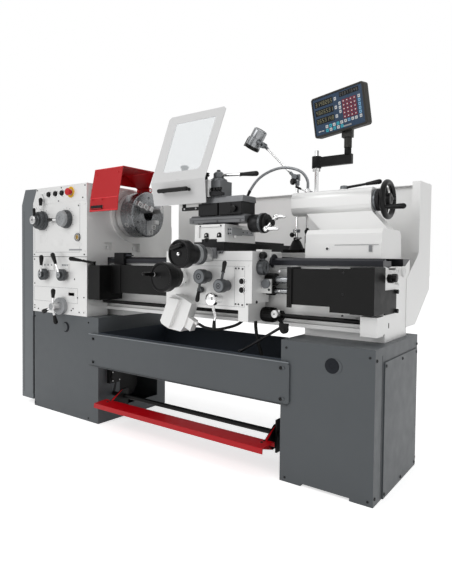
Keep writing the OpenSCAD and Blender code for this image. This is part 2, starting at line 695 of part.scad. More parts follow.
module spindle() {
    nose_x = hs_x1 + 14;
    color("#9a9a9a") difference() {
        union() {
            xbar(spindle_r, hs_x1 - 200, nose_x, bed_y, spin_z);
            xbar(rear_r, hs_x0 - 24, hs_x1 - 200, bed_y, spin_z);
            translate([hs_x0 + 150, bed_y, spin_z]) rotate([90, 0, 90]) linear_extrude(40) polygon(gear_outline());
            xbar(68, hs_x0 + 190, hs_x0 + 230, bed_y, spin_z);
        }
        xbar(bore_r, hs_x0 - 25, nose_x + 1, bed_y, spin_z);
    }
}
chuck_x0 = hs_x1 + 14;
chuck_mid = chuck_x0 + backplate_len;
chuck_x1 = chuck_mid + chuck_len;
jaw_w = 28;
jaw_depth = 26;
jaw_angles = [30, 150, 270];
// Turns a shape drawn at the top of the chuck to one of the jaw places
module at_jaw(i) { translate([0, bed_y, spin_z]) rotate([jaw_angles[i] - 90, 0, 0]) children(); }
module chuck() {
    color("#b4b6b8") difference() {
        union() {
            xbar(chuck_r - 3, chuck_x0, chuck_mid, bed_y, spin_z);
            xbar(chuck_r, chuck_mid, chuck_x1, bed_y, spin_z);
        }
        xbar(bore_r + 4, chuck_x0 - 1, chuck_x1 + 1, bed_y, spin_z);
        for (i = [0:2]) {
            at_jaw(i) block([chuck_x1 - jaw_depth - gap, -jaw_w / 2 - gap, 12], [chuck_x1 + 1, jaw_w / 2 + gap, chuck_r + 1]);
            // Key socket between the jaws
            translate([0, bed_y, spin_z]) rotate([jaw_angles[i] - 30, 0, 0])
                translate([chuck_mid + 34, 0, chuck_r - 26]) cylinder(r = 9, h = 30);
        }
    }
}
// Stepped jaw: a slide in the chuck and three steps that stand out from its face
module jaw(i) {
    steps = [[0, 22, 63], [22, 46, 40], [46, 72, 20]];
    color("#a4a6a8") at_jaw(i) {
        block([chuck_x1 - jaw_depth, -jaw_w / 2, jaw_open_r], [chuck_x1, jaw_w / 2, jaw_open_r + 76]);
        for (s = steps) block([chuck_x1, -jaw_w / 2, jaw_open_r + s[0]], [chuck_x1 + s[2], jaw_w / 2, jaw_open_r + s[1]]);
    }
}
module jaw_1() { jaw(0); }
module jaw_2() { jaw(1); }
module jaw_3() { jaw(2); }
hood_x0 = hs_x1 + 20;
hood_x1 = hood_x0 + guard_len;
hood_path = [
    [y_front, spin_z - 4], [y_front + 5, spin_z + 63], [y_front + 34, hs_top + 65], [bed_y - 50, hs_top + 66],
    [guard_hinge_y - 6, guard_hinge_z + 10]
];
module chuck_guard() {
    color("#c31920") difference() {
        union() {
            folded_sheet(hood_x0, hood_x1, hood_path, sheet_t);
            // End plate above the headstock
            yz_plate(hood_x0, hood_x0 + sheet_t, [
                [y_front + 24, hs_top + 8], hood_path[2], hood_path[3], [guard_hinge_y - 10, hs_top + 8]
            ]);
            xbar(13, hood_x0, hs_x1 + 112, guard_hinge_y, guard_hinge_z);
        }
        xbar(8 + fit, hood_x0 - 1, hs_x1 + 113, guard_hinge_y, guard_hinge_z);
        // The back flap narrows to the hinge
        translate([0, 0, hs_top - 20]) linear_extrude(120) polygon([
            [hs_x1 + 113, guard_hinge_y + 20], [hs_x1 + 113, guard_hinge_y - 12], [hood_x1 + 1, bed_y - 48],
            [hood_x1 + 1, guard_hinge_y + 20]
        ]);
        // Grip slot
        block([hood_x0 + 12, y_front - 4, spin_z + 8], [hood_x0 + 96, y_front + 12, spin_z + 26]);
    }
    color("#1f1f1f") block([hood_x0 + 12, y_front - 6, spin_z + 8], [hood_x0 + 96, y_front + 4, spin_z + 11]);
}

// ---- Controls on the headstock and gearbox ----
module turned_knob(x, z, r, depth) {
    back = y_front - gap;
    ybar(knob_shaft_r, back, y_front + 20, x, z);
    translate([x, back, z]) rotate([90, 0, 0]) cylinder(r1 = r, r2 = r * 0.86, h = depth * 0.6);
    ybar(r * 0.5, back - depth, back - depth * 0.6, x, z);
}
module speed_dial_left() {
    color("#5a5d60") turned_knob(left_dial_x, dial_z, 52, 68);
    color("#c0c0c0") rod_to([left_dial_x, y_front - 18, dial_z + 40], [left_dial_x + 4, y_front - 18, dial_z + 84], 6, 6);
    color("#1f1f1f") {
        grip([left_dial_x + 4, y_front - 18, dial_z + 82], [left_dial_x + 6, y_front - 18, dial_z + 112], 7, 11);
        grip([left_dial_x + 4, y_front - 56, dial_z + 16], [left_dial_x + 6, y_front - 58, dial_z + 56], 6, 8);
    }
}
module speed_dial_right() {
    color("#5a5d60") turned_knob(right_dial_x, dial_z, 48, 42);
    color("#c0c0c0") rod_to([right_dial_x - 40, y_front - 20, dial_z], [right_dial_x - 92, y_front - 20, dial_z], 6, 6);
    color("#1f1f1f") grip([right_dial_x - 90, y_front - 20, dial_z], [right_dial_x - 126, y_front - 20, dial_z], 7, 10);
}
module gear_lever(x, tip) {
    root = [x, y_front - 34, gear_lever_z];
    color("#5a5d60") {
        ybar(knob_shaft_r, y_front - gap, y_front + 20, x, gear_lever_z);
        ybar(31, y_front - 34, y_front - 9, x, gear_lever_z);
        ybar(18, y_front - 9, y_front - gap, x, gear_lever_z);
        ybar(16, y_front - 44, y_front - 34, x, gear_lever_z);
    }
    color("#c0c0c0") rod_to(root, root + 0.55 * (tip - root), 7, 6);
    color("#1f1f1f") grip(root + 0.52 * (tip - root), tip, 8, 12);
}
module gear_lever_left() { gear_lever(gear_lever_x[0], [gear_lever_x[0] + 4, y_front - 34, gear_lever_z + 92]); }
module gear_lever_right() { gear_lever(gear_lever_x[1], [gear_lever_x[1] - 58, y_front - 34, gear_lever_z + 104]); }
module feed_selector() {
    hub_y = y_front - 70;
    tips = [[5, 86], [-39, -15], [27, -85]];
    color("#8e9194") {
        ybar(knob_shaft_r, y_front - gap, y_front + 20, selector_x, selector_z);
        ybar(45, y_front - 24, y_front - gap, selector_x, selector_z);
        ybar(22, hub_y, y_front - 24, selector_x, selector_z);
    }
    for (t = tips) {
        u = t / norm(t);
        root = [selector_x, hub_y + 12, selector_z];
        arm = [u[0] * 82, 0, u[1] * 82];
        color("#c0c0c0") rod_to(root, root + 0.6 * arm, 6, 6);
        color("#1f1f1f") grip(root + 0.56 * arm, root + arm, 8, 12);
    }
}
module push_button(x, tint) {
    color(tint) {
        ybar(13, panel_y - 13, panel_y - 4, x, button_z);
        ybar(button_stem_r, panel_y - 4, y_front + hs_wall + 6, x, button_z);
    }
}
module start_button() { push_button(button_x[0], "#1f1f1f"); }
module jog_button() { push_button(button_x[1], "#1f1f1f"); }
module stop_button() { push_button(button_x[2], "#1f1f1f"); }
module emergency_stop() {
    color("#c31920") {
        ybar(19, panel_y - 28, panel_y - 14, stop_x, button_z);
        ybar(button_stem_r, panel_y - 14, y_front + hs_wall + 6, stop_x, button_z);
    }
}
lever_x = box_x0 + 16;
lever_y = y_front + 18;
module direction_lever() {
    z = cover_z1 + 4 + gap;
    root = [lever_x, lever_y, z + 9];
    tip = [hs_x1 - 47, y_front - 60, z + 28];
    color("#1f1f1f") {
        zbar(14, z, z + 16, lever_x, lever_y);
        rod_to(root, root + 0.6 * (tip - root), 6, 6);
        grip(root + 0.55 * (tip - root), tip, 7, 11);
    }
}

// ---- Feed shafts ----
module shaft(r, journal_r, z) {
    xbar(journal_r, hs_x1 - 22, rod_x1, rod_y, z);
    xbar(r, hs_x1 + 12, bed_x1 - 36, rod_y, z);
}
module leadscrew() { color("#8a8f94") shaft(leadscrew_r, leadscrew_r - 5, leadscrew_z); }
module feed_rod() { color("#8a8f94") xbar(feed_rod_r, hs_x1 - 22, rod_x1, rod_y, feed_rod_z); }
module control_rod() { color("#2a2a2a") xbar(control_rod_r, hs_x1 - 22, rod_x1, rod_y, control_rod_z); }

// ---- Carriage ----
lug_x0 = car_x1 - 105;
lug_x1 = car_x1 - 58;
front_x1 = car_x1 - 42;
wheel_x = car_x0 + 88;
wheel_z = bed_top - 83;
lever_hubs = [[car_x0 + 231, -78, 30], [car_x0 + 330, -112, 27], [car_x0 + 293, -167, 23]];
half_nut_y = y_front + 56;
half_nut_z = bed_top - 39;
hub_shaft_r = 8;
front_hub_x = cross_x;
lamp_x = car_x1 - 70;
lamp_y = bed_y + 115;
pipe_x = car_x1 - 15;
pipe_y = bed_y + 110;
module saddle() {
    color("#dcdcdc") difference() {
        union() {
            block([car_x0, y_front, seam_z], [front_x1, bed_y0 + way_w, saddle_top]);
            block([car_x0 + 150, bed_y0 + way_w, flat_top + 10], [car_x0 + 330, bed_y1 - way_w, saddle_top]);
            block([car_x0, bed_y1 - way_w, bed_top + gap], [car_x1, bed_y1, saddle_top]);
        }
        // Room for the front way, with its V
        block([car_x0 - 1, bed_y0 - 2, seam_z - 1], [car_x1 + 1, bed_y0 + way_w + 1, flat_top + gap]);
        yz_plate(car_x0 - 1, car_x1 + 1, [
            [bed_y0 + 9, flat_top], [bed_y0 + 23, bed_top + gap + 1.2], [bed_y0 + 37, flat_top]
        ]);
        ybar(hub_shaft_r + fit, y_front - 1, y_front + 50, cross_x, screw_z);
        zbar(9 + fit, saddle_top - 15, saddle_top + 1, pipe_x, pipe_y);
    }
    // Guide of the cross slide, with its middle rail
    color("#4a4a4a") {
        block([cross_x - cross_w / 2, y_front - 4, saddle_top], [cross_x + cross_w / 2, bed_y1 + 97, slab_top]);
        block([cross_x - 37, y_front - 4, slab_top], [cross_x + 38, bed_y1 + 97, slab_top + 12]);
    }
    // Way wiper and clamp at the right end
    color("#8a8f94") block([front_x1, bed_y0 - 2, bed_top + gap], [front_x1 + 4, bed_y0 + way_w, saddle_top - 2]);
    color("#4a4a4a") block([front_x1 - 30, bed_y0 - 60, saddle_top], [front_x1, bed_y0 + 10, saddle_top + 8]);
}
module apron() {
    hollow_x0 = car_x0 + apron_wall;
    hollow_x1 = front_x1 - apron_wall;
    web_x0 = car_x0 + 260;
    color("#dcdcdc") difference() {
        union() {
            difference() {
                xz_plate(apron_y0, apron_y1, [
                    [car_x0, apron_z0], [lug_x0, apron_z0], [lug_x0, control_rod_z - 23],
                    [lug_x1, control_rod_z - 23], [lug_x1, apron_z0 + 30], [front_x1, apron_z0 + 30],
                    [front_x1, seam_z], [car_x0, seam_z]
                ]);
                block([hollow_x0, apron_y0 + apron_wall, apron_z0 + apron_wall + 17],
                      [hollow_x1, apron_y1 + 1, seam_z - apron_wall]);
            }
            // Web of the half nuts
            block([web_x0, rod_y - 21, apron_z0 + 10], [web_x0 + 60, front_wall_y - 6, leadscrew_z + 26]);
        }
        // Way in of the shaft cover on the left side
        block([car_x0 - 1, cover_y - 5, cover_z0 - 5], [hollow_x0 + 1, apron_y1 + 1, cover_z1 + 5]);
        xbar(leadscrew_r + 3, web_x0 - 1, car_x1 + 1, rod_y, leadscrew_z);
        xbar(feed_rod_r + 3, web_x0 - 1, car_x1 + 1, rod_y, feed_rod_z);
        xbar(control_rod_r + 2, lug_x0 - 1, lug_x1 + 1, rod_y, control_rod_z);
        for (h = lever_hubs)
            ybar(hub_shaft_r + fit, apron_y0 - 1, apron_y0 + apron_wall + 1, h[0], bed_top + h[1]);
        ybar(hub_shaft_r + fit, apron_y0 - 1, apron_y0 + apron_wall + 1, wheel_x, wheel_z);
        xbar(hub_shaft_r + fit, hollow_x1 - 1, front_x1 + 1, half_nut_y, half_nut_z);
    }
    // Push buttons of the rapid feed, and screws
    color("#1f1f1f") for (z = [apron_z0 + 81, apron_z0 + 115]) ybar(13, apron_y0 - 9, apron_y0, car_x1 - 85, z);
    color("#8a8f94") {
        for (x = [car_x0 + 372, car_x0 + 386], z = [apron_z0 + 18, seam_z - 18]) front_screw(x, z, apron_y0, 3.5);
        for (x = [car_x0 + 12, car_x1 - 60], z = [apron_z0 + 18, seam_z - 18]) front_screw(x, z, apron_y0, 4);
    }
    rapid_motor();
}
// Rapid feed motor, hung slanting on the front of the apron
module rapid_motor() {
    color("#e6e6e6") {
        translate([car_x0 + 110, apron_y0, apron_z0 - 23]) rotate([0, 25, 0]) {
            xz_plate(-43, 2, [
                [-70, 45], [-52, 58], [-4, 66], [48, 66], [52, -40], [44, -68], [-20, -90], [-56, -92], [-70, -82]
            ]);
            xz_plate(-60, -43, [[-64, 38], [-8, 56], [-8, -78], [-52, -82], [-64, -74]]);
            block([48, -36, -44], [84, -6, 4]);
            xbar(8, 84, 98, -21, -4);
        }
    }
}
module carriage_handwheel() {
    front = apron_y0 - 130;
    color("#2a2a2a") {
        difference() {
            ybar(car_wheel_r, front, front + 42, wheel_x, wheel_z);
            ybar(car_wheel_r - 10, front - 1, front + 4, wheel_x, wheel_z);
        }
        ybar(car_wheel_r - 14, front + 42, apron_y0 - 66, wheel_x, wheel_z);
        ybar(34, apron_y0 - 66, apron_y0 - gap, wheel_x, wheel_z);
        ybar(hub_shaft_r, apron_y0 - gap, apron_y0 + 24, wheel_x, wheel_z);
    }
    color("#c0c0c0") ybar(46, apron_y0 - 40, apron_y0 - 20, wheel_x, wheel_z);
    // Fold-away handle near the rim
    color("#161616") {
        ybar(6, front - 6, front + 4, wheel_x - 40, wheel_z + 10);
        rod_to([wheel_x - 40, front - 6, wheel_z + 10], [wheel_x - 22, front - 76, wheel_z + 14], 11, 8);
    }
}
module cross_handwheel() {
    front = y_front - 190;
    color("#2a2a2a") {
        difference() {
            ybar(cross_wheel_r, front, front + 46, cross_x, screw_z);
            ybar(cross_wheel_r - 9, front - 1, front + 5, cross_x, screw_z);
        }
        ybar(cross_wheel_r - 16, front + 46, y_front - 105, cross_x, screw_z);
        rod_to([cross_x - 30, front + 2, screw_z + 26], [cross_x + 12, front - 8, screw_z + 34], 9, 9);
    }
    color("#b4b6b8") {
        ybar(42, y_front - 105, y_front - 60, cross_x, screw_z);
        ybar(30, y_front - 60, y_front - 4 - gap, cross_x, screw_z);
        ybar(hub_shaft_r, y_front - 4 - gap, y_front + 48, cross_x, screw_z);
        ybar(6, front - 2, front + 6, cross_x, screw_z);
    }
}
module apron_lever(i, tip, tint, disc_y) {
    x = lever_hubs[i][0];
    z = bed_top + lever_hubs[i][1];
    r = lever_hubs[i][2];
    root = [x, disc_y + 16, z];
    end = [tip[0], disc_y + 8, tip[1]];
    color(tint) {
        ybar(r, disc_y, disc_y + 34, x, z);
        ybar(r * 0.8, disc_y + 34, apron_y0 - gap, x, z);
        ybar(hub_shaft_r, apron_y0 - gap, apron_y0 + 20, x, z);
    }
    color("#1f1f1f") {
        rod_to(root, root + 0.6 * (end - root), 6, 5);
        grip(root + 0.58 * (end - root), end, 6, 9);
    }
}
module feed_lever() { apron_lever(0, [car_x0 + 219, bed_top - 173], "#5a5d60", apron_y0 - 60); }
module thread_lever() { apron_lever(1, [car_x0 + 355, bed_top - 22], "#5a5d60", apron_y0 - 60); }
module rapid_lever() { apron_lever(2, [car_x0 + 304, bed_top - 279], "#c0c0c0", apron_y0 - 60); }
module half_nut_lever() {
    x = front_x1 + 15;
    color("#5a5d60") {
        xbar(30, front_x1 + gap, front_x1 + 30, half_nut_y, half_nut_z);
        xbar(hub_shaft_r, front_x1 - apron_wall, front_x1 + gap, half_nut_y, half_nut_z);
    }
    color("#1f1f1f") {
        rod_to([x, half_nut_y, half_nut_z + 10], [x, half_nut_y - 4, half_nut_z + 54], 10, 7);
        ybar(15, half_nut_y - 14, half_nut_y + 12, x, half_nut_z + 48);
    }
}
// Start lever of the spindle, that slides and turns the control rod
module control_lever() {
    x0 = lug_x1 + gap;
    x1 = x0 + 58;
    color("#1f1f1f") {
        difference() {
            union() {
                xbar(28, x0, x1, rod_y, control_rod_z);
                xbar(20, x1, x1 + 34, rod_y, control_rod_z);
            }
            xbar(control_rod_r + fit, x0 - 1, x1 + 35, rod_y, control_rod_z);
        }
        for (a = [0:30:330]) translate([0, rod_y, control_rod_z]) rotate([a, 0, 0])
            block([x0 + 6, -3, 27], [x1 - 6, 3, 30]);
        rod_to([x1 + 24, rod_y - 16, control_rod_z - 10], [x1 + 70, rod_y - 58, control_rod_z - 36], 7, 7);
        translate([x1 + 74, rod_y - 60, control_rod_z - 44]) rotate([-90, 0, 0]) cylinder(r = 17, h = 14, center = true);
        rod_to([x1 + 70, rod_y - 60, control_rod_z - 32], [x1 - 130, rod_y - 60, control_rod_z - 154], 6, 5);
        translate([x1 - 130, rod_y - 60, control_rod_z - 154]) sphere(9);
    }
    color("#c0c0c0") ybar(16, rod_y - 40, rod_y - 18, x1 + 16, control_rod_z + 8);
}
module cross_slide() {
    y0 = y_front;
    y1 = bed_y0 + 22;
    color("#dcdcdc") difference() {
        block([cross_x - cross_w / 2, y0, slab_top + gap], [cross_x + cross_w / 2, y1 + 70, cross_top]);
        // Groove over the rail
        block([cross_x - 37 - gap, y0 - 1, slab_top], [cross_x + 38 + gap, y1 + 71, slab_top + 12 + gap]);
        // Sunk front face with two bolts
        block([cross_x - 56, y0 - 1, slab_top + 18], [cross_x + 62, y0 + 8, cross_top - 10]);
        zbar(30 + fit, cross_top - 12, cross_top + 1, cross_x, comp_y);
    }
    color("#1f1f1f") for (x = [cross_x - 20, cross_x + 46]) ybar(8, y0 + 2, y0 + 8, x, slab_top + 29);
    // Scale reader on the right side
    color("#b4b6b8") {
        block([cross_x + cross_w / 2, y0 + 20, slab_top + 30], [cross_x + cross_w / 2 + 20, y0 + 90, slab_top + 56]);
        zbar(6, slab_top + 18, slab_top + 30, cross_x + cross_w / 2 + 10, y0 + 60);
    }
}
module compound_base() {
    color("#3a3a3a") {
        zbar(75, comp_z, comp_z + 14, cross_x, comp_y);
        zbar(30, cross_top - 12 + gap, comp_z, cross_x, comp_y);
        block([cross_x - 131, comp_y - 50, comp_z + 14], [cross_x + 154, comp_y + 50, slide_z - gap]);
        block([cross_x - 131, comp_y - 50, comp_z + 8], [cross_x + 154, comp_y + 50, comp_z + 14]);
    }
    color("#1f1f1f") difference() {
        xbar(36, cross_x + 154, cross_x + 202, comp_y, comp_z + 3);
        xbar(hub_shaft_r + fit, cross_x + 150, cross_x + 203, comp_y, comp_z + 3);
    }
    // Protractor screws
    color("#c0c0c0") for (x = [cross_x - 60, cross_x + 60]) ybar(6, comp_y - 66, comp_y - 50, x, comp_z + 26);
}
module top_slide() {
    color("#3f3f3f") {
        block([cross_x - 82, comp_y - 50, slide_z], [cross_x + 137, comp_y + 50, slide_z + 50]);
        block([cross_x - 67, comp_y - 50, slide_z + 50], [cross_x + 143, comp_y + 50, slide_z + 75 - gap]);
        zbar(12, slide_z + 75 - gap, post_z + post_h - 20, post_x, post_y);
    }
    // Arm and pin of the chip shield
    color("#1f1f1f") {
        block([cross_x - 175, comp_y - 50, slide_z + 25], [cross_x - 82, comp_y - 36, slide_z + 40]);
        zbar(8, slide_z + 30, fold_z + 30, shield_pin_x, shield_pin_y);
    }
}
shield_pin_x = cross_x - 167;
shield_pin_y = comp_y - 43;
crank_x = cross_x + 202;
module compound_crank() {
    x0 = crank_x + gap;
    color("#b4b6b8") {
        xbar(hub_shaft_r, cross_x + 160, x0, comp_y, comp_z + 3);
        xbar(40, x0, x0 + 19, comp_y, comp_z + 3);
    }
    color("#2a2a2a") {
        xbar(34, x0 + 19, x0 + 32, comp_y, comp_z + 3);
        xbar(13, x0 + 32, x0 + 55, comp_y, comp_z + 3);
    }
    for (s = [-1, 1]) {
        ball = [x0 + 44, comp_y + s * 38, comp_z + 3 + s * 26];
        color("#2a2a2a") {
            rod_to([x0 + 44, comp_y, comp_z + 3], ball, 8, 7);
            translate(ball) sphere(13);
        }
        color("#c0c0c0") rod_to(ball, ball + [s > 0 ? 44 : 58, 0, 0], 8, 7);
    }
}
module tool_post() {
    z0 = post_z;
    h = post_w / 2;
    color("#2f2f2f") difference() {
        union() {
            block([post_x - h, post_y - h, z0], [post_x + h, post_y + h, z0 + post_h]);
            // Tool holder at the left side
            block([post_x - h - 34, post_y - h + 6, z0 + 6], [post_x - h, post_y + h - 6, z0 + post_h - 10]);
            zbar(26, z0 + post_h, z0 + post_h + 6, post_x, post_y);
        }
        zbar(12 + fit, z0 - 1, z0 + post_h - 18, post_x, post_y);
        // Tool groove of the holder
        block([post_x - h - 35, post_y - h - 1, z0 + 18], [post_x - h - 18, post_y + h + 1, z0 + 40]);
    }
    color("#161616") {
        for (y = [-18, 0, 18])
            zbar(5, z0 + post_h - 10, z0 + post_h + 4, post_x - h - 20, post_y + y);
        zbar(8, z0 + post_h - 10, z0 + post_h + 14, post_x - h - 11, post_y - 22);
        zbar(15, z0 + post_h + 14, z0 + post_h + 30, post_x - h - 11, post_y - 22);
        zbar(7, z0 + post_h + 6, z0 + post_h + 40, post_x, post_y);
    }
}
module tool_post_lever() {
    z = post_z + post_h + 6 + gap;
    color("#3a3a3a") difference() {
        zbar(22, z, z + 26, post_x, post_y);
        zbar(7 + fit, z - 1, z + 27, post_x, post_y);
    }
    color("#b4b6b8") rod_to([post_x + 16, post_y, z + 12], [post_x + 110, post_y, z + 4], 7, 6);
    color("#161616") grip([post_x + 106, post_y, z + 4], [post_x + 188, post_y, z + 2], 7, 10);
}
shield_x0 = car_x0 - 85;
shield_x1 = shield_x0 + shield_w;
fold_z = bed_top + 324;
fold_y = y_front - 10;
shield_lean = 118;
shield_tilt = asin(shield_lean / shield_h);
fold_lap = 1.5;
// Places a shape drawn upright, with z = 0 at the fold, on the leaning upper leaf
module on_upper_leaf() { translate([0, fold_y, fold_z]) rotate([-shield_tilt, 0, 0]) children(); }
module chip_shield() {
    color("#dcdcdc") {
        difference() {
            union() {
                // Upper leaf, wider at its top
                on_upper_leaf() xz_plate(-sheet_t, 0, [
                    [shield_x0, -fold_lap], [shield_x1 - 20, -fold_lap], [shield_x1, shield_h - 12],
                    [shield_x1 - 12, shield_h],
                    [shield_x0 + 14, shield_h], [shield_x0 + 2, shield_h - 12]
                ]);
                // Return flange on the right edge
                on_upper_leaf() rotate([0, 3.4, 0]) block([shield_x1 - 23, 0, 0], [shield_x1 - 20.5, 7, shield_h - 30]);
            }
            on_upper_leaf() xz_plate(-5, 5, window_points);
        }
        lower_leaf();
        // Handle bar
        ybar(5, fold_y - 22, fold_y + 4, shield_x0 + 70, fold_z - 40);
        ybar(5, fold_y - 22, fold_y + 4, shield_x0 + 220, fold_z - 40);
        xbar(8, shield_x0 + 62, shield_x0 + 228, fold_y - 22, fold_z - 40);
        // Clamp on the pin
        difference() {
            union() {
                zbar(15, fold_z - 4, fold_z + 44, shield_pin_x, shield_pin_y);
                block([shield_pin_x - 12, fold_y - 1, fold_z - 4], [shield_pin_x + 12, shield_pin_y, fold_z + 8]);
            }
            zbar(8 + fit, fold_z - 5, fold_z + 32, shield_pin_x, shield_pin_y);
        }
        zbar(6, fold_z + 44, fold_z + 50, shield_pin_x, shield_pin_y);
        zbar(14, fold_z + 50, fold_z + 73, shield_pin_x, shield_pin_y);
    }
}
module lower_leaf() {
    translate([0, fold_y, fold_z]) rotate([10, 0, 0])
        xz_plate(-sheet_t, 0, [
            [shield_x0 + 4, -100], [shield_x1 - 26, -100], [shield_x1 - 20, fold_lap], [shield_x0, fold_lap]
        ]);
}
window_points = [
    [shield_x0 + 55, 46], [shield_x1 - 62, 46], [shield_x1 - 44, shield_h - 42], [shield_x0 + 57, shield_h - 42]
];
module shield_window() {
    color("#aab4ba", 0.4) on_upper_leaf() xz_plate(-sheet_t / 2 - 1, -sheet_t / 2 + 1, window_points);
}

// ---- Tailstock ----
ts_x1 = ts_x + ts_len;
ts_joint_z = bed_top + 59;
ts_shoulder_z = bed_top + 112;
barrel_x0 = ts_x - 98;
barrel_x1 = barrel_x0 + barrel_len;
barrel_h = barrel_w / 2;
collar_len = 24;
quill_screw_r = 14;
module tailstock() {
    foot_y0 = bed_y - 105;
    foot_y1 = bed_y + 125;
    color("#dcdcdc") difference() {
        union() {
            // Base plate and body
            block([ts_x, foot_y0, bed_top + gap], [ts_x1, foot_y1, ts_joint_z]);
            yz_plate(ts_x, ts_x1, [
                [foot_y0 + 3, ts_joint_z], [foot_y1 - 3, ts_joint_z], [foot_y1 - 3, ts_shoulder_z - 18],
                [foot_y1 - 20, ts_shoulder_z], [foot_y0 + 20, ts_shoulder_z], [foot_y0 + 3, ts_shoulder_z - 18]
            ]);
            // Web under the barrel
            xz_plate(bed_y - 34, bed_y + 34, [
                [ts_x + 12, ts_shoulder_z - 18], [ts_x + 32, ts_shoulder_z + 2], [barrel_x0 + 62, spin_z - 40],
                [barrel_x1 - 4, spin_z - 40], [ts_x1, ts_shoulder_z], [ts_x1, ts_shoulder_z - 20]
            ]);
            // Barrel with rounded corners
            translate([barrel_x0, bed_y, spin_z]) rotate([90, 0, 90]) linear_extrude(barrel_len)
                round_rect(barrel_w, barrel_w, 30);
            zbar(20, spin_z + barrel_h - 8, spin_z + barrel_h + 4, lock_x, bed_y + 10);
        }
        xbar(quill_r + fit, barrel_x0 - 1, barrel_x1 - 12, bed_y, spin_z);
        xbar(quill_screw_r + fit, barrel_x1 - 13, barrel_x1 + 1, bed_y, spin_z);
        // Groove over the V way
        yz_plate(ts_x - 1, ts_x1 + 1, [
            [bed_y0 + 9, flat_top], [bed_y0 + 23, bed_top + gap + 1.2], [bed_y0 + 37, flat_top]
        ]);
        zbar(8 + fit, spin_z + barrel_h - 4, spin_z + barrel_h + 5, lock_x, bed_y + 10);
    }
    color("#3a3a3a") {
        front_screw(ts_x + 96, ts_joint_z - 22, foot_y0, 8);
        block([ts_x + 262, foot_y0 - 3, ts_joint_z - 34], [ts_x + 274, foot_y0, ts_joint_z - 10]);
    }
}
lock_x = ts_x + 111;
module quill() {
    color("#b4b6b8") difference() {
        xbar(quill_r, barrel_x0 - 2, barrel_x1 - 60, bed_y, spin_z);
        // Taper for the centre, and the thread of the screw
        xcone(13, 9, barrel_x0 - 3, barrel_x0 + 70, bed_y, spin_z);
        xbar(quill_screw_r + fit, barrel_x0 + 90, barrel_x1 - 59, bed_y, spin_z);
    }
}
module tailstock_handwheel() {
    x0 = barrel_x1 + gap;
    rim_x = x0 + collar_len + 4;
    color("#b4b6b8") {
        xbar(quill_screw_r, barrel_x0 + 95, x0, bed_y, spin_z);
        xbar(42, x0, x0 + collar_len, bed_y, spin_z);
    }
    color("#3a3a3a") {
        xbar(24, x0 + collar_len, rim_x + 34, bed_y, spin_z);
        translate([rim_x + 20, bed_y, spin_z]) rotate([0, 90, 0])
            rotate_extrude() translate([ts_wheel_r - 11, 0]) circle(11);
        for (a = [10, 130, 250])
            rod_to([rim_x + 18, bed_y, spin_z],
                   [rim_x + 20, bed_y + (ts_wheel_r - 12) * cos(a), spin_z + (ts_wheel_r - 12) * sin(a)], 11, 8);
    }
    color("#c0c0c0") {
        handle = [rim_x + 22, bed_y - 54, spin_z - 34];
        rod_to(handle, handle + [22, 0, 0], 6, 6);
        rod_to(handle + [20, 0, 0], handle + [84, 0, 0], 8, 12);
    }
}
module quill_lever() {
    z = spin_z + barrel_h + 4 + gap;
    color("#5a5d60") {
        zbar(8, spin_z + barrel_h - 4 + gap, z, lock_x, bed_y + 10);
        zbar(16, z, z + 14, lock_x, bed_y + 10);
    }
    color("#c0c0c0") rod_to([lock_x + 10, bed_y + 10, z + 7], [lock_x + 96, bed_y + 10, z + 15], 5.5, 5);
    color("#161616") grip([lock_x + 90, bed_y + 10, z + 15], [lock_x + 154, bed_y + 10, z + 20], 6.5, 10);
}

// ---- Lamp, coolant and readout ----
elbow = [lamp_x - 10, lamp_y - 5, saddle_top + 342];
knuckle = [lamp_x - 171, lamp_y - 5, saddle_top + 501];
pivot_r = 6;
module lamp_post() {
    color("#1f1f1f") {
        block([lamp_x - 45, bed_y1 - way_w + 2, saddle_top], [lamp_x + 37, bed_y1 - 2, saddle_top + 14]);
        translate([lamp_x, lamp_y, saddle_top + 14]) cylinder(r1 = 36, r2 = 17, h = 42);
        zbar(16, saddle_top + 92, saddle_top + 106, lamp_x, lamp_y);
    }
    color("#c0c0c0") {
        zbar(7, saddle_top + 50, elbow[2] - 14, lamp_x, lamp_y);
        rod_to([lamp_x, lamp_y - 10, saddle_top + 60], [lamp_x + 34, lamp_y - 24, saddle_top + 66], 4, 5);
    }
    // Head of the post with the elbow pin
    color("#1f1f1f") {
        block([lamp_x - 14, lamp_y - 1, elbow[2] - 16], [lamp_x + 9, lamp_y + 11, elbow[2] + 12]);
        ybar(pivot_r, elbow[1] - 12, elbow[1] + 5, elbow[0], elbow[2]);
    }
}
module lamp_arm() {
    color("#1f1f1f") difference() {
        union() {
            ybar(13, elbow[1] - 11, elbow[1] + 4 - gap, elbow[0], elbow[2]);
            rod_to(elbow + [0, -4, 0], knuckle + [0, -4, 0], 7, 7);
        }
        ybar(pivot_r + fit, elbow[1] - 13, elbow[1] + 6, elbow[0], elbow[2]);
    }
    color("#1f1f1f") {
        ybar(12, knuckle[1] - 11, knuckle[1] + 3, knuckle[0], knuckle[2]);
        ybar(pivot_r, knuckle[1] - 32, knuckle[1] - 11, knuckle[0], knuckle[2]);
    }
}
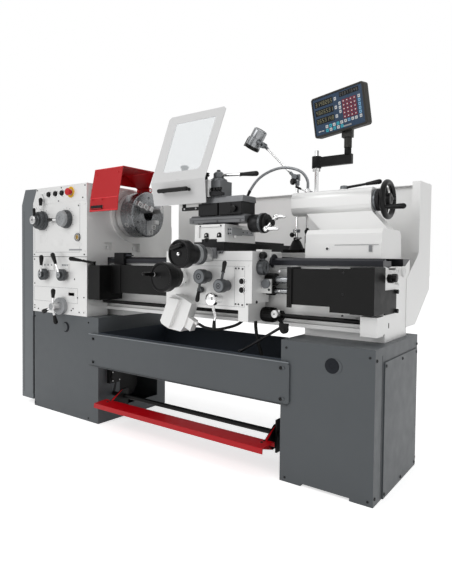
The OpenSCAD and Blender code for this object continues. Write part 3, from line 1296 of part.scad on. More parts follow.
module lamp_head() {
    c = knuckle + [-54, 0, 31];
    tilt = 214;
    color("#1f1f1f") {
        translate(c) rotate([0, tilt, 0]) {
            translate([0, 0, -58]) cylinder(r1 = 26, r2 = 34, h = 60);
            translate([0, 0, 2]) difference() {
                cylinder(r = 37, h = 40);
                translate([0, 0, 20]) cylinder(r = 31, h = 21);
            }
            for (i = [0:3]) translate([0, 0, -54 + i * 12]) cylinder(r = 33, h = 5);
        }
        difference() {
            union() {
                ybar(14, knuckle[1] - 32, knuckle[1] - 11 - gap, knuckle[0], knuckle[2]);
                rod_to([knuckle[0], knuckle[1] - 22, knuckle[2]], [c[0], c[1] - 14, c[2] + 8], 9, 9);
            }
            ybar(pivot_r + fit, knuckle[1] - 33, knuckle[1] - 10, knuckle[0], knuckle[2]);
        }
    }
    color("#f0f0f0") translate(c) rotate([0, tilt, 0]) translate([0, 0, 22]) cylinder(r = 31, h = 3);
}
pipe_top = saddle_top + 285;
nozzle = [car_x - 31, bed_y, spin_z + 38];
// Curve of the flexible end, from the tap over to the tool
pipe_route = [
    [pipe_x, pipe_y, pipe_top], [pipe_x - 1, pipe_y - 2, pipe_top + 40], [pipe_x - 22, pipe_y - 12, pipe_top + 76],
    [pipe_x - 62, pipe_y - 28, pipe_top + 96], [pipe_x - 112, pipe_y - 48, pipe_top + 100],
    [pipe_x - 162, pipe_y - 68, pipe_top + 84], [pipe_x - 206, pipe_y - 84, pipe_top + 54],
    [pipe_x - 238, pipe_y - 98, pipe_top + 8], nozzle
];
function unit(v) = v / norm(v);
function ring_points(c, dir, r, n) =
    let (u = unit(cross(dir, abs(dir[1]) < 0.9 ? [0, 1, 0] : [1, 0, 0])), w = cross(dir, u))
        [for (k = [0:n - 1]) c + r * (cos(k * 360 / n) * u + sin(k * 360 / n) * w)];
function route_dir(pts, i) = unit(pts[min(i + 1, len(pts) - 1)] - pts[max(i - 1, 0)]);
// Point on the smooth curve through the route, t counted in spans
function route_at(p, t) =
    let (n = len(p) - 1, i = min(floor(t), n - 1), f = t - i,
         a = p[max(i - 1, 0)], b = p[i], c = p[i + 1], d = p[min(i + 2, n)])
        0.5 * (2 * b + (c - a) * f + (2 * a - 5 * b + 4 * c - d) * f * f + (3 * b - a - 3 * c + d) * f * f * f);
function smooth_route(p, per) = [for (k = [0:(len(p) - 1) * per]) route_at(p, k / per)];
module swept_tube(pts, r, n = 8) {
    m = len(pts);
    polyhedron(
        points = [for (i = [0:m - 1]) each ring_points(pts[i], route_dir(pts, i), r, n)],
        faces = concat(
            [[for (k = [0:n - 1]) k]],
            [for (i = [0:m - 2], k = [0:n - 1])
                [i * n + k, (i + 1) * n + k, (i + 1) * n + (k + 1) % n, i * n + (k + 1) % n]],
            [[for (k = [n - 1:-1:0]) (m - 1) * n + k]]
        )
    );
}
module coolant_pipe() {
    color("#1f1f1f") {
        zbar(9, saddle_top - 14, saddle_top + 6, pipe_x, pipe_y);
        zbar(16, saddle_top + gap, saddle_top + 20, pipe_x, pipe_y);
        zbar(10, saddle_top + 18, saddle_top + 94, pipe_x, pipe_y);
        translate([pipe_x, pipe_y, saddle_top + 96]) sphere(14);
    }
    color("#c0c0c0") {
        zbar(7, saddle_top + 94, pipe_top - 30, pipe_x, pipe_y);
        zbar(13, pipe_top - 34, pipe_top - 4, pipe_x, pipe_y);
        rod_to([pipe_x, pipe_y - 8, pipe_top - 14], [pipe_x - 48, pipe_y - 22, pipe_top + 10], 4, 5);
        xbar(9, pipe_x - 2, pipe_x + 22, pipe_y, pipe_top - 20);
        translate([0, 0, -5]) swept_tube(smooth_route(pipe_route, 4), 8);
    }
}
arm_z = post_pole_top - 90;
swivel = [car_x + 265, post_pole_y - 1, arm_z + 84];
swivel_r = 9;
module readout_arm() {
    color("#1f1f1f") {
        difference() {
            union() {
                zbar(24, arm_z, arm_z + 60, post_pole_x, post_pole_y);
                block([post_pole_x, post_pole_y - 12, arm_z + 6], [swivel[0] + 22, post_pole_y + 14, arm_z + 54]);
            }
            zbar(post_pole_r + fit, arm_z - 1, arm_z + 61, post_pole_x, post_pole_y);
        }
        zbar(17, arm_z + 50, swivel[2], swivel[0], swivel[1]);
        zbar(swivel_r, swivel[2], swivel[2] + 50, swivel[0], swivel[1]);
    }
}
display_t = 48;
display_c = [car_x + 236, guard_y - 14, swivel[2] + 176];
module readout_display() {
    color("#3a3936") translate(display_c) rotate([0, -4.5, -10]) rotate([7, 0, 0]) difference() {
        translate([0, display_t / 2, 0]) rotate([90, 0, 0])
            linear_extrude(display_t) round_rect(display_w, display_h, 9);
        block([-display_w / 2 + 9, -display_t / 2 - 1, -display_h / 2 + 9],
              [display_w / 2 - 9, -display_t / 2 + 3, display_h / 2 - 9]);
    }
    // Socket on the swivel pin, with its foot under the case
    color("#1f1f1f") difference() {
        union() {
            zbar(19, swivel[2] + gap, swivel[2] + 62, swivel[0], swivel[1]);
            block([swivel[0] - 26, swivel[1] - 24, swivel[2] + 50], [swivel[0] + 26, swivel[1] + 14, swivel[2] + 108]);
        }
        zbar(swivel_r + fit, swivel[2] - 1, swivel[2] + 52, swivel[0], swivel[1]);
    }
}
// Cord routes: feed of the rapid motor, and the drain hose under the apron
motor_cord = [
    [404, -176, 622], [402, -176, 600], [392, -178, 574], [368, -186, 556], [336, -202, 544], [300, -226, 536],
    [262, -250, 542], [246, -259, 550], [234, -261, 555.5]
];
drain_hose = [
    [438, -149, 579], [439, -149, 552], [444, -149, 520], [452, -150, 490], [462, -151, 462], [472, -151, 438]
];
module cables() {
    color("#1a1a1a") {
        swept_tube(smooth_route(motor_cord, 5), 6);
        swept_tube(smooth_route(drain_hose, 5), 7);
    }
}

left_cabinet();
right_cabinet();
front_panel();
chip_tray();
main_motor();
bed();
leadscrew_cover();
end_bracket();
headstock();
feed_gearbox();
end_cover();
splash_guard();
control_lever();
spindle();
chuck();
jaw_1();
jaw_2();
jaw_3();
chuck_guard();
speed_dial_left();
speed_dial_right();
gear_lever_left();
gear_lever_right();
feed_selector();
start_button();
jog_button();
stop_button();
emergency_stop();
brake_pedal();
leadscrew();
feed_rod();
control_rod();
direction_lever();
saddle();
apron();
carriage_handwheel();
cross_handwheel();
cross_slide();
compound_base();
top_slide();
compound_crank();
tool_post();
tool_post_lever();
chip_shield();
shield_window();
half_nut_lever();
feed_lever();
thread_lever();
rapid_lever();
tailstock();
quill();
tailstock_handwheel();
quill_lever();
lamp_post();
lamp_arm();
lamp_head();
coolant_pipe();
readout_arm();
readout_display();
cables();
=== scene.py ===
"""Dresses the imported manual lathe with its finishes, trims, fittings and cords."""

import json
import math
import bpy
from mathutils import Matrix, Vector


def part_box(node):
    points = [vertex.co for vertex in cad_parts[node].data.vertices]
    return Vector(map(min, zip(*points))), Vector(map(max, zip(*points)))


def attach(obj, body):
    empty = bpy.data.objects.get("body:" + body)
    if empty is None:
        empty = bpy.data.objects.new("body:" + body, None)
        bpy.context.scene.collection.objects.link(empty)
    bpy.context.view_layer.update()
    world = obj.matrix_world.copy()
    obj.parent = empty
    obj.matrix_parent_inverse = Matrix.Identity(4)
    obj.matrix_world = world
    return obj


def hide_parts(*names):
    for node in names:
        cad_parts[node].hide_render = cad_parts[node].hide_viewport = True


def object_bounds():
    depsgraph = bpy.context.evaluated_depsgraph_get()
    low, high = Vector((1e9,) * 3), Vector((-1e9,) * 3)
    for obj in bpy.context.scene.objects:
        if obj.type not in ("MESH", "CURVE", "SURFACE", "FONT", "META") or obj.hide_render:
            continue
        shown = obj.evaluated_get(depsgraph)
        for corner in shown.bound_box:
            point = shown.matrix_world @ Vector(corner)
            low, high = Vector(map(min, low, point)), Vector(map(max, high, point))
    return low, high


bl_info = {
    "name": "Manual lathe dressing",
    "version": (1, 0, 0),
    "blender": (4, 5, 0),
    "location": "View3D > Sidebar > Lathe",
    "description": "Finishes, fittings and cords of a manual lathe",
    "category": "Object",
}

import bmesh
import bpy
from bpy.props import FloatProperty, FloatVectorProperty, PointerProperty
from mathutils import Matrix, Vector

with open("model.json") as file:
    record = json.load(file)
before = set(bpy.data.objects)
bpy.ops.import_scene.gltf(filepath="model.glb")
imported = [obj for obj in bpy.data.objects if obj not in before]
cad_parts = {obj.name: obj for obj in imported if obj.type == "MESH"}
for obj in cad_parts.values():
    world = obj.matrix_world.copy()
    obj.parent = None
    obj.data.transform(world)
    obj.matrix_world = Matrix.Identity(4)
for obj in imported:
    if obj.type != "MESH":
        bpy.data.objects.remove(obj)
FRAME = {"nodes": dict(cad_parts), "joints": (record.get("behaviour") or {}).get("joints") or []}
CAD_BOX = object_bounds()
NODES = FRAME["nodes"]
MM = 0.001
PIVOTS = {j["child"]: Vector(j.get("pos_m") or (0, 0, 0)) / MM for j in FRAME["joints"]}

# Fronts of the machine, in millimetres
FRONT_FACE = -240.0  # headstock, gearbox, cabinets and apron
KNOB_FACE = -240.3  # start of the knobs, just clear of the front
PANEL_FACE = -242.0  # push button panel
FAR = 5000  # past every part, for boxes that are open on a side

SHARP = 0.55  # edges that fold by more, in radians, stay sharp
ROUNDED = 0.6  # edges that fold by more are rounded
FLAT = 0.012  # facets that fold by less are joined
WELD = 0.00002  # points closer than this are joined, in metres


def box_of(node):
    """Lowest and highest corner of a solid, in millimetres."""
    lo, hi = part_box(node)
    return Vector(lo) / MM, Vector(hi) / MM


# ---- Sizes and colours that a user may change ----


def linear(code):
    """Linear colour of a six-digit hex code."""
    parts = [int(code[i : i + 2], 16) / 255 for i in (0, 2, 4)]
    return tuple(c / 12.92 if c <= 0.04045 else ((c + 0.055) / 1.055) ** 2.4 for c in parts)


def colour(name, what, code):
    return FloatVectorProperty(name=name, description=what, subtype="COLOR", size=3, min=0, max=1,
        default=linear(code))


def length(name, what, default):
    return FloatProperty(name=name, description=what, subtype="DISTANCE", unit="LENGTH", min=0,
        default=default)


class LatheColours(bpy.types.PropertyGroup):
    """Colours of the paints, metals and plastics"""

    white_paint: colour("White paint", "Enamel of the castings and the splash guard", "d9d9d9")
    cabinet_grey: colour("Cabinet grey", "Powder coat of the cabinets and the front panel", "54585b")
    cover_grey: colour("Cover grey", "Powder coat of the end cover", "6a6e71")
    tray_dark: colour("Tray grey", "Paint of the chip tray", "343b44")
    guard_red: colour("Guard red", "Paint of the chuck guard", "b80d16")
    pedal_red: colour("Pedal red", "Paint of the brake treadle", "b8000f")
    black_trim: colour("Black trim", "Covers, brackets and grips", "070707")
    slide_dark: colour("Slide iron", "Blackened slides and tool post", "262627")
    ground_steel: colour("Ground steel", "Machined and ground faces", "8d8f91")
    chrome: colour("Chrome", "Plated rods, rims and rings", "626467")
    knob_grey: colour("Knob grey", "Grey control knobs and hubs", "4c4e50")
    motor_grey: colour("Motor grey", "Paint of the motor", "3c4c60")
    case_grey: colour("Readout case", "Plastic of the readout case", "3a3936")
    screen_blue: colour("Readout panel", "Face of the readout", "27415c")
    key_maroon: colour("Number keys", "Keys of the readout", "7a2438")
    collar_yellow: colour("Stop collar", "Collar of the emergency stop", "e2b400")


class LatheSizes(bpy.types.PropertyGroup):
    """Sizes of the cover screws, the panel joints and the cords"""

    screw: length("Screw radius", "Radius of the cover screws", 0.0045)
    seam: length("Seam width", "Width of the panel joints", 0.0016)
    cord_feed: length("Motor cord", "Diameter of the rapid motor's cord", 0.012)
    cord_drain: length("Drain hose", "Diameter of the drain hose", 0.014)


# ---- Materials ----

# name: (colour property or hex, roughness, metallic, pattern)
FINISHES = {
    "white_paint": ("white_paint", 0.38, 0.0, "paint"),
    "cabinet_grey": ("cabinet_grey", 0.46, 0.0, "powder"),
    "cover_grey": ("cover_grey", 0.44, 0.0, "powder"),
    "tray_dark": ("tray_dark", 0.5, 0.0, "powder"),
    "guard_red": ("guard_red", 0.36, 0.0, "paint"),
    "pedal_red": ("pedal_red", 0.36, 0.0, "paint"),
    "black_trim": ("black_trim", 0.5, 0.0, "powder"),
    "black_grip": ("0b0b0b", 0.3, 0.0, "plastic"),
    "black_rubber": ("151515", 0.72, 0.0, "plastic"),
    "slide_dark": ("slide_dark", 0.36, 0.55, "ground"),
    "way_steel": ("35363a", 0.36, 0.6, "ground"),
    "ground_steel": ("ground_steel", 0.3, 0.9, "ground"),
    "turned_steel": ("ground_steel", 0.27, 0.95, "turned"),
    "chrome": ("chrome", 0.1, 1.0, "plated"),
    "knob_grey": ("knob_grey", 0.36, 0.6, "turned"),
    "motor_grey": ("motor_grey", 0.45, 0.0, "powder"),
    "case_grey": ("case_grey", 0.5, 0.0, "plastic"),
    "screen_blue": ("screen_blue", 0.22, 0.0, "plastic"),
    "screen_black": ("0b0d10", 0.12, 0.0, "plastic"),
    "key_maroon": ("key_maroon", 0.4, 0.0, "plastic"),
    "key_white": ("d6d8da", 0.4, 0.0, "plastic"),
    "key_sky": ("7fb2d6", 0.4, 0.0, "plastic"),
    "key_cyan": ("3fb4c8", 0.4, 0.0, "plastic"),
    "collar_yellow": ("collar_yellow", 0.4, 0.0, "plastic"),
    "button_red": ("c31920", 0.32, 0.0, "plastic"),
    "seam_dark": ("2c2d2e", 0.6, 0.0, "powder"),
    "seam_grey": ("8c8e90", 0.6, 0.0, "powder"),
    "label_white": ("e9e9e8", 0.35, 0.0, "plastic"),
    "label_grey": ("9a9c9e", 0.35, 0.3, "plastic"),
    "mark_white": ("f0f0f0", 0.45, 0.0, "plastic"),
    "lamp_lens": ("f4f4ef", 0.25, 0.0, "plastic"),
    "brass": ("a88a4a", 0.3, 0.9, "turned"),
    "wheel_black": ("0a0a0b", 0.36, 0.0, "plastic"),
    "turned_grey": ("75787b", 0.34, 0.6, "turned"),
    "slab_grey": ("6f7072", 0.4, 0.55, "ground"),
    "post_grey": ("6c6e70", 0.36, 0.5, "ground"),
    # Lighter red of the guard's bends and hem: a painted highlight
    "bend_red": ("e0343d", 0.36, 0.0, "paint"),
    # Dark strips that stand for slots and vents: painted shade in the openings
    "dark_hole": ("101113", 0.7, 0.0, "powder"),
    # Lighter strip along a top edge: a painted highlight
    "edge_grey": ("878c90", 0.4, 0.0, "powder"),
    "plug_navy": ("0c1018", 0.5, 0.0, "plastic"),
    "lamp_silver": ("96989a", 0.3, 1.0, "turned"),
    "lamp_glass": ("15171a", 0.08, 0.0, "plastic"),
    "hose_grey": ("9b9da0", 0.3, 0.8, "plated"),
    "shield_grey": ("d8d8d8", 0.4, 0.0, "paint"),
}


def put(tree, kind, **values):
    node = tree.nodes.new(kind)
    for key, value in values.items():
        if key in node.inputs:
            node.inputs[key].default_value = value
        else:
            setattr(node, key, value)
    return node


def noise(tree, source, scale, detail=2.0, stretch=None):
    """Noise in the object's own coordinates, drawn out along one axis where asked."""
    if stretch:
        place = put(tree, "ShaderNodeMapping")
        place.inputs["Scale"].default_value = stretch
        tree.links.new(source, place.inputs["Vector"])
        source = place.outputs["Vector"]
    out = put(tree, "ShaderNodeTexNoise", Scale=scale, Detail=detail)
    tree.links.new(source, out.inputs["Vector"])
    return out.outputs["Fac"]


def spread(tree, source, low, high):
    out = put(tree, "ShaderNodeMapRange")
    for key, value in (("From Min", 0.3), ("From Max", 0.7), ("To Min", low), ("To Max", high)):
        out.inputs[key].default_value = value
    tree.links.new(source, out.inputs["Value"])
    return out.outputs["Result"]


# pattern: (colour change, patch scale, roughness change, grain scale and stretch, bump height and strength)
PATTERNS = {
    "paint": (0.02, 5.0, 0.04, 700.0, None, 0.00008, 0.07),
    "powder": (0.025, 4.0, 0.04, 1100.0, None, 0.0001, 0.12),
    "plastic": (0.06, 14.0, 0.06, 1700.0, None, 0.0001, 0.15),
    "ground": (0.05, 9.0, 0.05, 500.0, (0.06, 1.0, 1.0), 0.00002, 0.03),
    "turned": (0.03, 12.0, 0.03, 900.0, None, 0.00001, 0.012),
    "plated": (0.03, 10.0, 0.03, 300.0, None, 0.00001, 0.008),
}


def finish(name):
    """Node material of one finish, made once."""
    made = bpy.data.materials.get(name)
    if made:
        return made
    source, rough, metal, pattern = FINISHES[name]
    tints = bpy.context.scene.lathe_colours
    base = tuple(getattr(tints, source)) if hasattr(tints, source) else linear(source)
    change, patch, rough_change, grain, stretch, height, strength = PATTERNS[pattern]
    made = bpy.data.materials.new(name)
    made.use_nodes = True
    tree = made.node_tree
    shader = tree.nodes["Principled BSDF"]
    shader.inputs["Metallic"].default_value = metal
    is_dark = max(base) <= 0.05
    shader.inputs["Specular IOR Level"].default_value = 0.22 if is_dark else 0.35
    where = put(tree, "ShaderNodeTexCoord").outputs["Object"]
    blotch = noise(tree, where, patch, 4.0)
    ramp = put(tree, "ShaderNodeValToRGB")
    ramp.color_ramp.elements[0].position, ramp.color_ramp.elements[1].position = 0.3, 0.7
    ramp.color_ramp.elements[0].color = (*[c * (1 - change) for c in base], 1)
    ramp.color_ramp.elements[1].color = (*[min(1, c * (1 + change)) for c in base], 1)
    tree.links.new(blotch, ramp.inputs["Fac"])
    tree.links.new(ramp.outputs["Color"], shader.inputs["Base Color"])
    worn = noise(tree, where, patch * 6, 3.0)
    tree.links.new(spread(tree, worn, rough - rough_change, rough + rough_change), shader.inputs["Roughness"])
    bump = put(tree, "ShaderNodeBump", Strength=strength, Distance=height)
    tree.links.new(noise(tree, where, grain, 2.0, stretch), bump.inputs["Height"])
    tree.links.new(bump.outputs["Normal"], shader.inputs["Normal"])
    made.diffuse_color = (*base, 1)
    return made


def pane_material():
    """Clear sheet of the shield's window."""
    made = bpy.data.materials.new("clear_pane")
    made.use_nodes = True
    tree = made.node_tree
    shader = tree.nodes["Principled BSDF"]
    shader.inputs["Base Color"].default_value = (0.93, 0.95, 0.96, 1)
    shader.inputs["Alpha"].default_value = 0.22
    shader.inputs["IOR"].default_value = 1.49
    where = put(tree, "ShaderNodeTexCoord").outputs["Object"]
    tree.links.new(spread(tree, noise(tree, where, 16.0), 0.04, 0.14), shader.inputs["Roughness"])
    return made


def glow(name, code, strength):
    """Lit part of the readout or a lamp."""
    made = bpy.data.materials.new(name)
    made.use_nodes = True
    tree = made.node_tree
    shader = tree.nodes["Principled BSDF"]
    shader.inputs["Emission Color"].default_value = (*linear(code), 1)
    shader.inputs["Emission Strength"].default_value = strength
    where = put(tree, "ShaderNodeTexCoord").outputs["Object"]
    ramp = put(tree, "ShaderNodeValToRGB")
    ramp.color_ramp.elements[0].color = (*[c * 0.9 for c in linear(code)], 1)
    ramp.color_ramp.elements[1].color = (*linear(code), 1)
    tree.links.new(noise(tree, where, 60.0), ramp.inputs["Fac"])
    tree.links.new(ramp.outputs["Color"], shader.inputs["Base Color"])
    return made


# ---- Mesh building, in millimetres ----

AXES = {
    "x": Vector((1, 0, 0)),
    "y": Vector((0, 1, 0)),
    "z": Vector((0, 0, 1)),
    "-x": Vector((-1, 0, 0)),
    "-y": Vector((0, -1, 0)),
    "-z": Vector((0, 0, -1)),
}


def across(axis):
    """Two directions square to an axis."""
    first = axis.cross(Vector((0, 0, 1)) if abs(axis.z) < 0.9 else Vector((0, 1, 0))).normalized()
    return first, axis.cross(first)


def around(count, shift=0):
    """Cosine and sine of even steps of a full turn."""
    angles = [math.tau * (k + shift) / count for k in range(count)]
    return [(math.cos(t), math.sin(t)) for t in angles]


def placed(at, angle, axis):
    """Turn about an axis through a point."""
    return Matrix.Translation(at) @ Matrix.Rotation(angle, 4, axis)


def strip(rows, n, closed=False):
    """Faces between rows of n points each; a closed strip joins the last row to the first."""
    count = rows if closed else rows - 1
    faces = []
    for k in range(count):
        a, b = k * n, (k + 1) % rows * n
        faces += [[a + i, a + (i + 1) % n, b + (i + 1) % n, b + i] for i in range(n)]
    return faces


def disc(r, high, under=1):
    """Profile of a flat head that stands on a face."""
    return [(-under, r), (high, r), (high, 0)]


def head(r, side, top_r, top):
    """Profile of a head with a sloping rim."""
    return [(-1, r), (side, r), (top, top_r), (top, 0)]


def socket(r, side, top_r, top, hole_r, floor, floor_r):
    """Profile of a head with a sloping rim and a socket."""
    return [(-1, r), (side, r), (top, top_r), (top, hole_r), (floor, floor_r), (floor, 0)]


class Shape:
    """A mesh under construction. Finishes are given by name and become its slots."""

    def __init__(self, move=None):
        self.bm = bmesh.new()
        self.slots = []
        self.move = move or Matrix.Identity(4)

    def slot(self, name):
        if name not in self.slots:
            self.slots.append(name)
        return self.slots.index(name)

    def add(self, points, faces, tint):
        index = self.slot(tint)
        verts = [self.bm.verts.new(self.move @ Vector(p)) for p in points]
        for f in faces:
            self.bm.faces.new([verts[i] for i in f]).material_index = index

    def block(self, lo, hi, tint):
        xs, ys, zs = zip(lo, hi)
        pts = [(x, y, z) for x in xs for y in ys for z in zs]
        self.add(pts, [(0, 1, 3, 2), (4, 6, 7, 5), (0, 4, 5, 1), (2, 3, 7, 6), (0, 2, 6, 4), (1, 5, 7, 3)],
            tint)

    def turn(self, at, axis, profile, tint, steps=32, flutes=0, depth=0.0):
        """Turned form: profile rows are (distance along the axis, radius, fluted or not)."""
        axis = AXES[axis] if isinstance(axis, str) else Vector(axis).normalized()
        u, v = across(axis)
        at = Vector(at)
        steps = flutes * 6 if flutes else steps
        pts, rings = [], []
        for row in profile:
            a, r = row[0], row[1]
            if r < 1e-6:
                rings.append([len(pts)])
                pts.append(at + axis * a)
                continue
            ring = []
            for k in range(steps):
                t = math.tau * k / steps
                rr = r - (depth * (0.5 - 0.5 * math.cos(flutes * t)) if flutes and len(row) > 2 else 0)
                ring.append(len(pts))
                pts.append(at + axis * a + u * rr * math.cos(t) + v * rr * math.sin(t))
            rings.append(ring)
        faces = []
        for a, b in zip(rings, rings[1:]):
            for k in range(steps):
                n = (k + 1) % steps
                quad = [a[k % len(a)], a[n % len(a)], b[n % len(b)], b[k % len(b)]]
                faces.append(list(dict.fromkeys(quad)))
        for ring in (rings[0], rings[-1]):
            if len(ring) > 1:
                faces.append(ring)
        self.add(pts, faces, tint)

    def turns(self, at, axis, *forms):
        """Turned forms one after another on the same axis."""
        for form in forms:
            self.turn(at, axis, *form)

    def ring(self, at, axis, profile, tint, steps=48):
        """Closed ring: the profile (distance, radius) is a loop that doesn't reach the axis."""
        axis = AXES[axis] if isinstance(axis, str) else Vector(axis).normalized()
        u, v = across(axis)
        at, m = Vector(at), len(profile)
        pts = [at + axis * a + (u * c + v * s) * r for c, s in around(steps) for a, r in profile]
        self.add(pts, strip(steps, m, closed=True), tint)

    def bar(self, p0, p1, r0, r1, tint, steps=20):
        p0, p1 = Vector(p0), Vector(p1)
        h = (p1 - p0).length
        c = min(0.8, r0 * 0.2, r1 * 0.2)
        self.turn(p0, p1 - p0, [(0, r0 - c), (c, r0), (h - c, r1), (h, r1 - c)], tint, steps)

    def grip(self, p0, p1, r0, r1, tint="black_grip", steps=24):
        """Tapered hand grip with a rounded end past p1."""
        p0, p1 = Vector(p0), Vector(p1)
        h = (p1 - p0).length
        rows = [(0, r0 * 0.72), (0.8, r0 * 0.94), (2.5, r0)]
        rows += [(h * t, r0 + (r1 - r0) * (t * t * (3 - 2 * t))) for t in (0.25, 0.5, 0.75)]
        rows += [(h + r1 * math.sin(a), r1 * math.cos(a)) for a in (0, 0.35, 0.7, 1.05, 1.35)] + [(h + r1, 0)]
        self.turn(p0, p1 - p0, rows, tint, steps)

    def ball(self, at, r, tint, steps=24):
        n = steps // 2
        rows = [(-r * math.cos(math.pi * k / n), r * math.sin(math.pi * k / n)) for k in range(n + 1)]
        rows[0], rows[-1] = (-r, 0), (r, 0)
        self.turn(at, "z", rows, tint, steps)

    def plate(self, outline, axis, a, b, tint):
        """Outline drawn out along an axis: x with (y, z) points, y with (x, z), z with (x, y)."""
        n = len(outline)
        lift = {"x": lambda p, q: (q, *p), "y": lambda p, q: (p[0], q, p[1]), "z": lambda p, q: (*p, q)}[axis]
        pts = [lift(p, q) for q in (a, b) for p in outline]
        sides = [[i, (i + 1) % n, n + (i + 1) % n, n + i] for i in range(n)]
        self.add(pts, [list(range(n)), list(range(2 * n - 1, n - 1, -1)), *sides], tint)

    def tube(self, path, r, tint, sides=12, ribs=0.0):
        """Tube along a path of points; ribs makes every second ring wider."""
        pts, n = [], len(path)
        for i, p in enumerate(path):
            d = (Vector(path[min(i + 1, n - 1)]) - Vector(path[max(i - 1, 0)])).normalized()
            u, v = across(d)
            if i and u.dot(last) < 0:
                u, v = -u, -v
            last = u
            rr = r + (ribs if i % 2 else 0)
            pts += [Vector(p) + rr * (u * c + v * s) for c, s in around(sides)]
        self.add(pts, [*strip(n, sides), list(range(sides)), list(range((n - 1) * sides, n * sides))], tint)

    def screw(self, x, z, y, r, tint="seam_dark"):
        """Domed socket screw on a face that looks to the front."""
        self.turn((x, y, z), "-y", [(-1, r), (1.2, r), (2.6, r * 0.82), (3.2, r * 0.5), (3.2, r * 0.42),
            (1.4, r * 0.4), (1.4, 0)], tint, 18)

    def stand_in(self, name, node, bevel=0.0):
        """Closes the mesh as the piece that takes the place of a solid."""
        self.piece(name, node, bevel, [node])

    def piece(self, name, body, bevel=0.0, replaces=()):
        """Closes the mesh and hands it to the body it rides on."""
        bm = self.bm
        bmesh.ops.recalc_face_normals(bm, faces=bm.faces)
        for face in bm.faces:
            face.smooth = True
        for edge in bm.edges:
            if len(edge.link_faces) == 2 and edge.calc_face_angle(0) > SHARP:
                edge.smooth = False
        bmesh.ops.scale(bm, vec=(MM, MM, MM), verts=bm.verts)
        mesh = bpy.data.meshes.new(name)
        bm.to_mesh(mesh)
        bm.free()
        for tint in self.slots:
            mesh.materials.append(finish(tint) if tint in FINISHES else bpy.data.materials[tint])
        obj = bpy.data.objects.new(name, mesh)
        bpy.context.scene.collection.objects.link(obj)
        if bevel:
            round_edges(obj, bevel * MM)
        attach(obj, body)
        if replaces:
            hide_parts(*replaces)
        return obj


def round_edges(obj, width):
    soft = obj.modifiers.new("Edges", "BEVEL")
    soft.width, soft.segments, soft.limit_method, soft.angle_limit = width, 2, "ANGLE", ROUNDED
    soft.harden_normals = True


def dress(node, tint, zones=(), rounding=1.2):
    """Gives a carried-over solid one finish, and others to the faces whose middle lies in a box."""
    obj = NODES[node]
    mesh = obj.data
    mesh.materials.clear()
    names = [tint, *dict.fromkeys(z[0] for z in zones)]
    for name in names:
        mesh.materials.append(finish(name) if name in FINISHES else bpy.data.materials[name])
    for face in mesh.polygons:
        mid, pick = face.center / MM, 0
        for name, lo, hi in zones:
            if all(lo[k] <= mid[k] <= hi[k] for k in range(3)):
                pick = names.index(name)
        face.material_index = pick
    if rounding:
        join = obj.modifiers.new("Join", "WELD")
        join.merge_threshold = WELD
        flat = obj.modifiers.new("Flat", "DECIMATE")
        flat.decimate_type, flat.angle_limit, flat.delimit = "DISSOLVE", FLAT, {"MATERIAL"}
        round_edges(obj, rounding * MM)


def smooth_line(points, steps):
    """Points on the smooth curve through a route."""
    p = [Vector(q) for q in points]
    n, out = len(p) - 1, []
    for k in range(n * steps + 1):
        i = min(k // steps, n - 1)
        f = k / steps - i
        a, b, c, d = p[max(i - 1, 0)], p[i], p[i + 1], p[min(i + 2, n)]
        bend = 2 * b + (c - a) * f + (2 * a - 5 * b + 4 * c - d) * f * f + (3 * b - a - 3 * c + d) * f**3
        out.append(0.5 * bend)
    return out


# ---- Camera and cords ----

FEED_CORD = [
    (404, -176, 622), (402, -176, 600), (392, -178, 574), (368, -186, 556), (336, -202, 544), (300, -226,
        536),
    (262, -250, 542), (246, -259, 550), (234, -261, 555.5),
]
DRAIN_HOSE = [(438, -149, 579), (439, -149, 552), (444, -149, 520), (452, -150, 490), (462, -151, 462),
    (472, -151, 438)]


class LATHE_OT_camera(bpy.types.Operator):
    """Sets the camera at the machine's front right corner"""

    bl_idname = "lathe.camera"
    bl_label = "Camera"

    def execute(self, context):
        data = bpy.data.cameras.new("camera")
        data.lens, data.sensor_width, data.shift_y = 30.92, 36.0, -0.0262
        cam = bpy.data.objects.new("camera", data)
        heading, dip, roll = 0.633971, 0.03154, 0.010286
        turn = Matrix.Rotation(heading, 3, "Z") @ Matrix.Rotation(math.pi / 2 - dip, 3, "X")
        turn = turn @ Matrix.Rotation(roll, 3, "Z")
        cam.matrix_world = Matrix.Translation((1.541, -1.855, 0.817)) @ turn.to_4x4()
        context.scene.collection.objects.link(cam)
        context.scene.camera = cam
        return {"FINISHED"}


class LATHE_OT_cords(bpy.types.Operator):
    """Lays the rapid motor's cord and the drain hose"""

    bl_idname = "lathe.cords"
    bl_label = "Cords"

    def execute(self, context):
        sizes = context.scene.lathe_sizes
        for name, route, wide in (("motor_cord", FEED_CORD, sizes.cord_feed),
                ("drain_hose", DRAIN_HOSE, sizes.cord_drain)):
            line = smooth_line(route, 5)
            shape = Shape()
            shape.tube(line, wide / 2 / MM, "black_rubber", 16)
            cord = shape.piece(name, "carriage")
        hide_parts("cables")
        return {"FINISHED"}


# ---- Stage ----


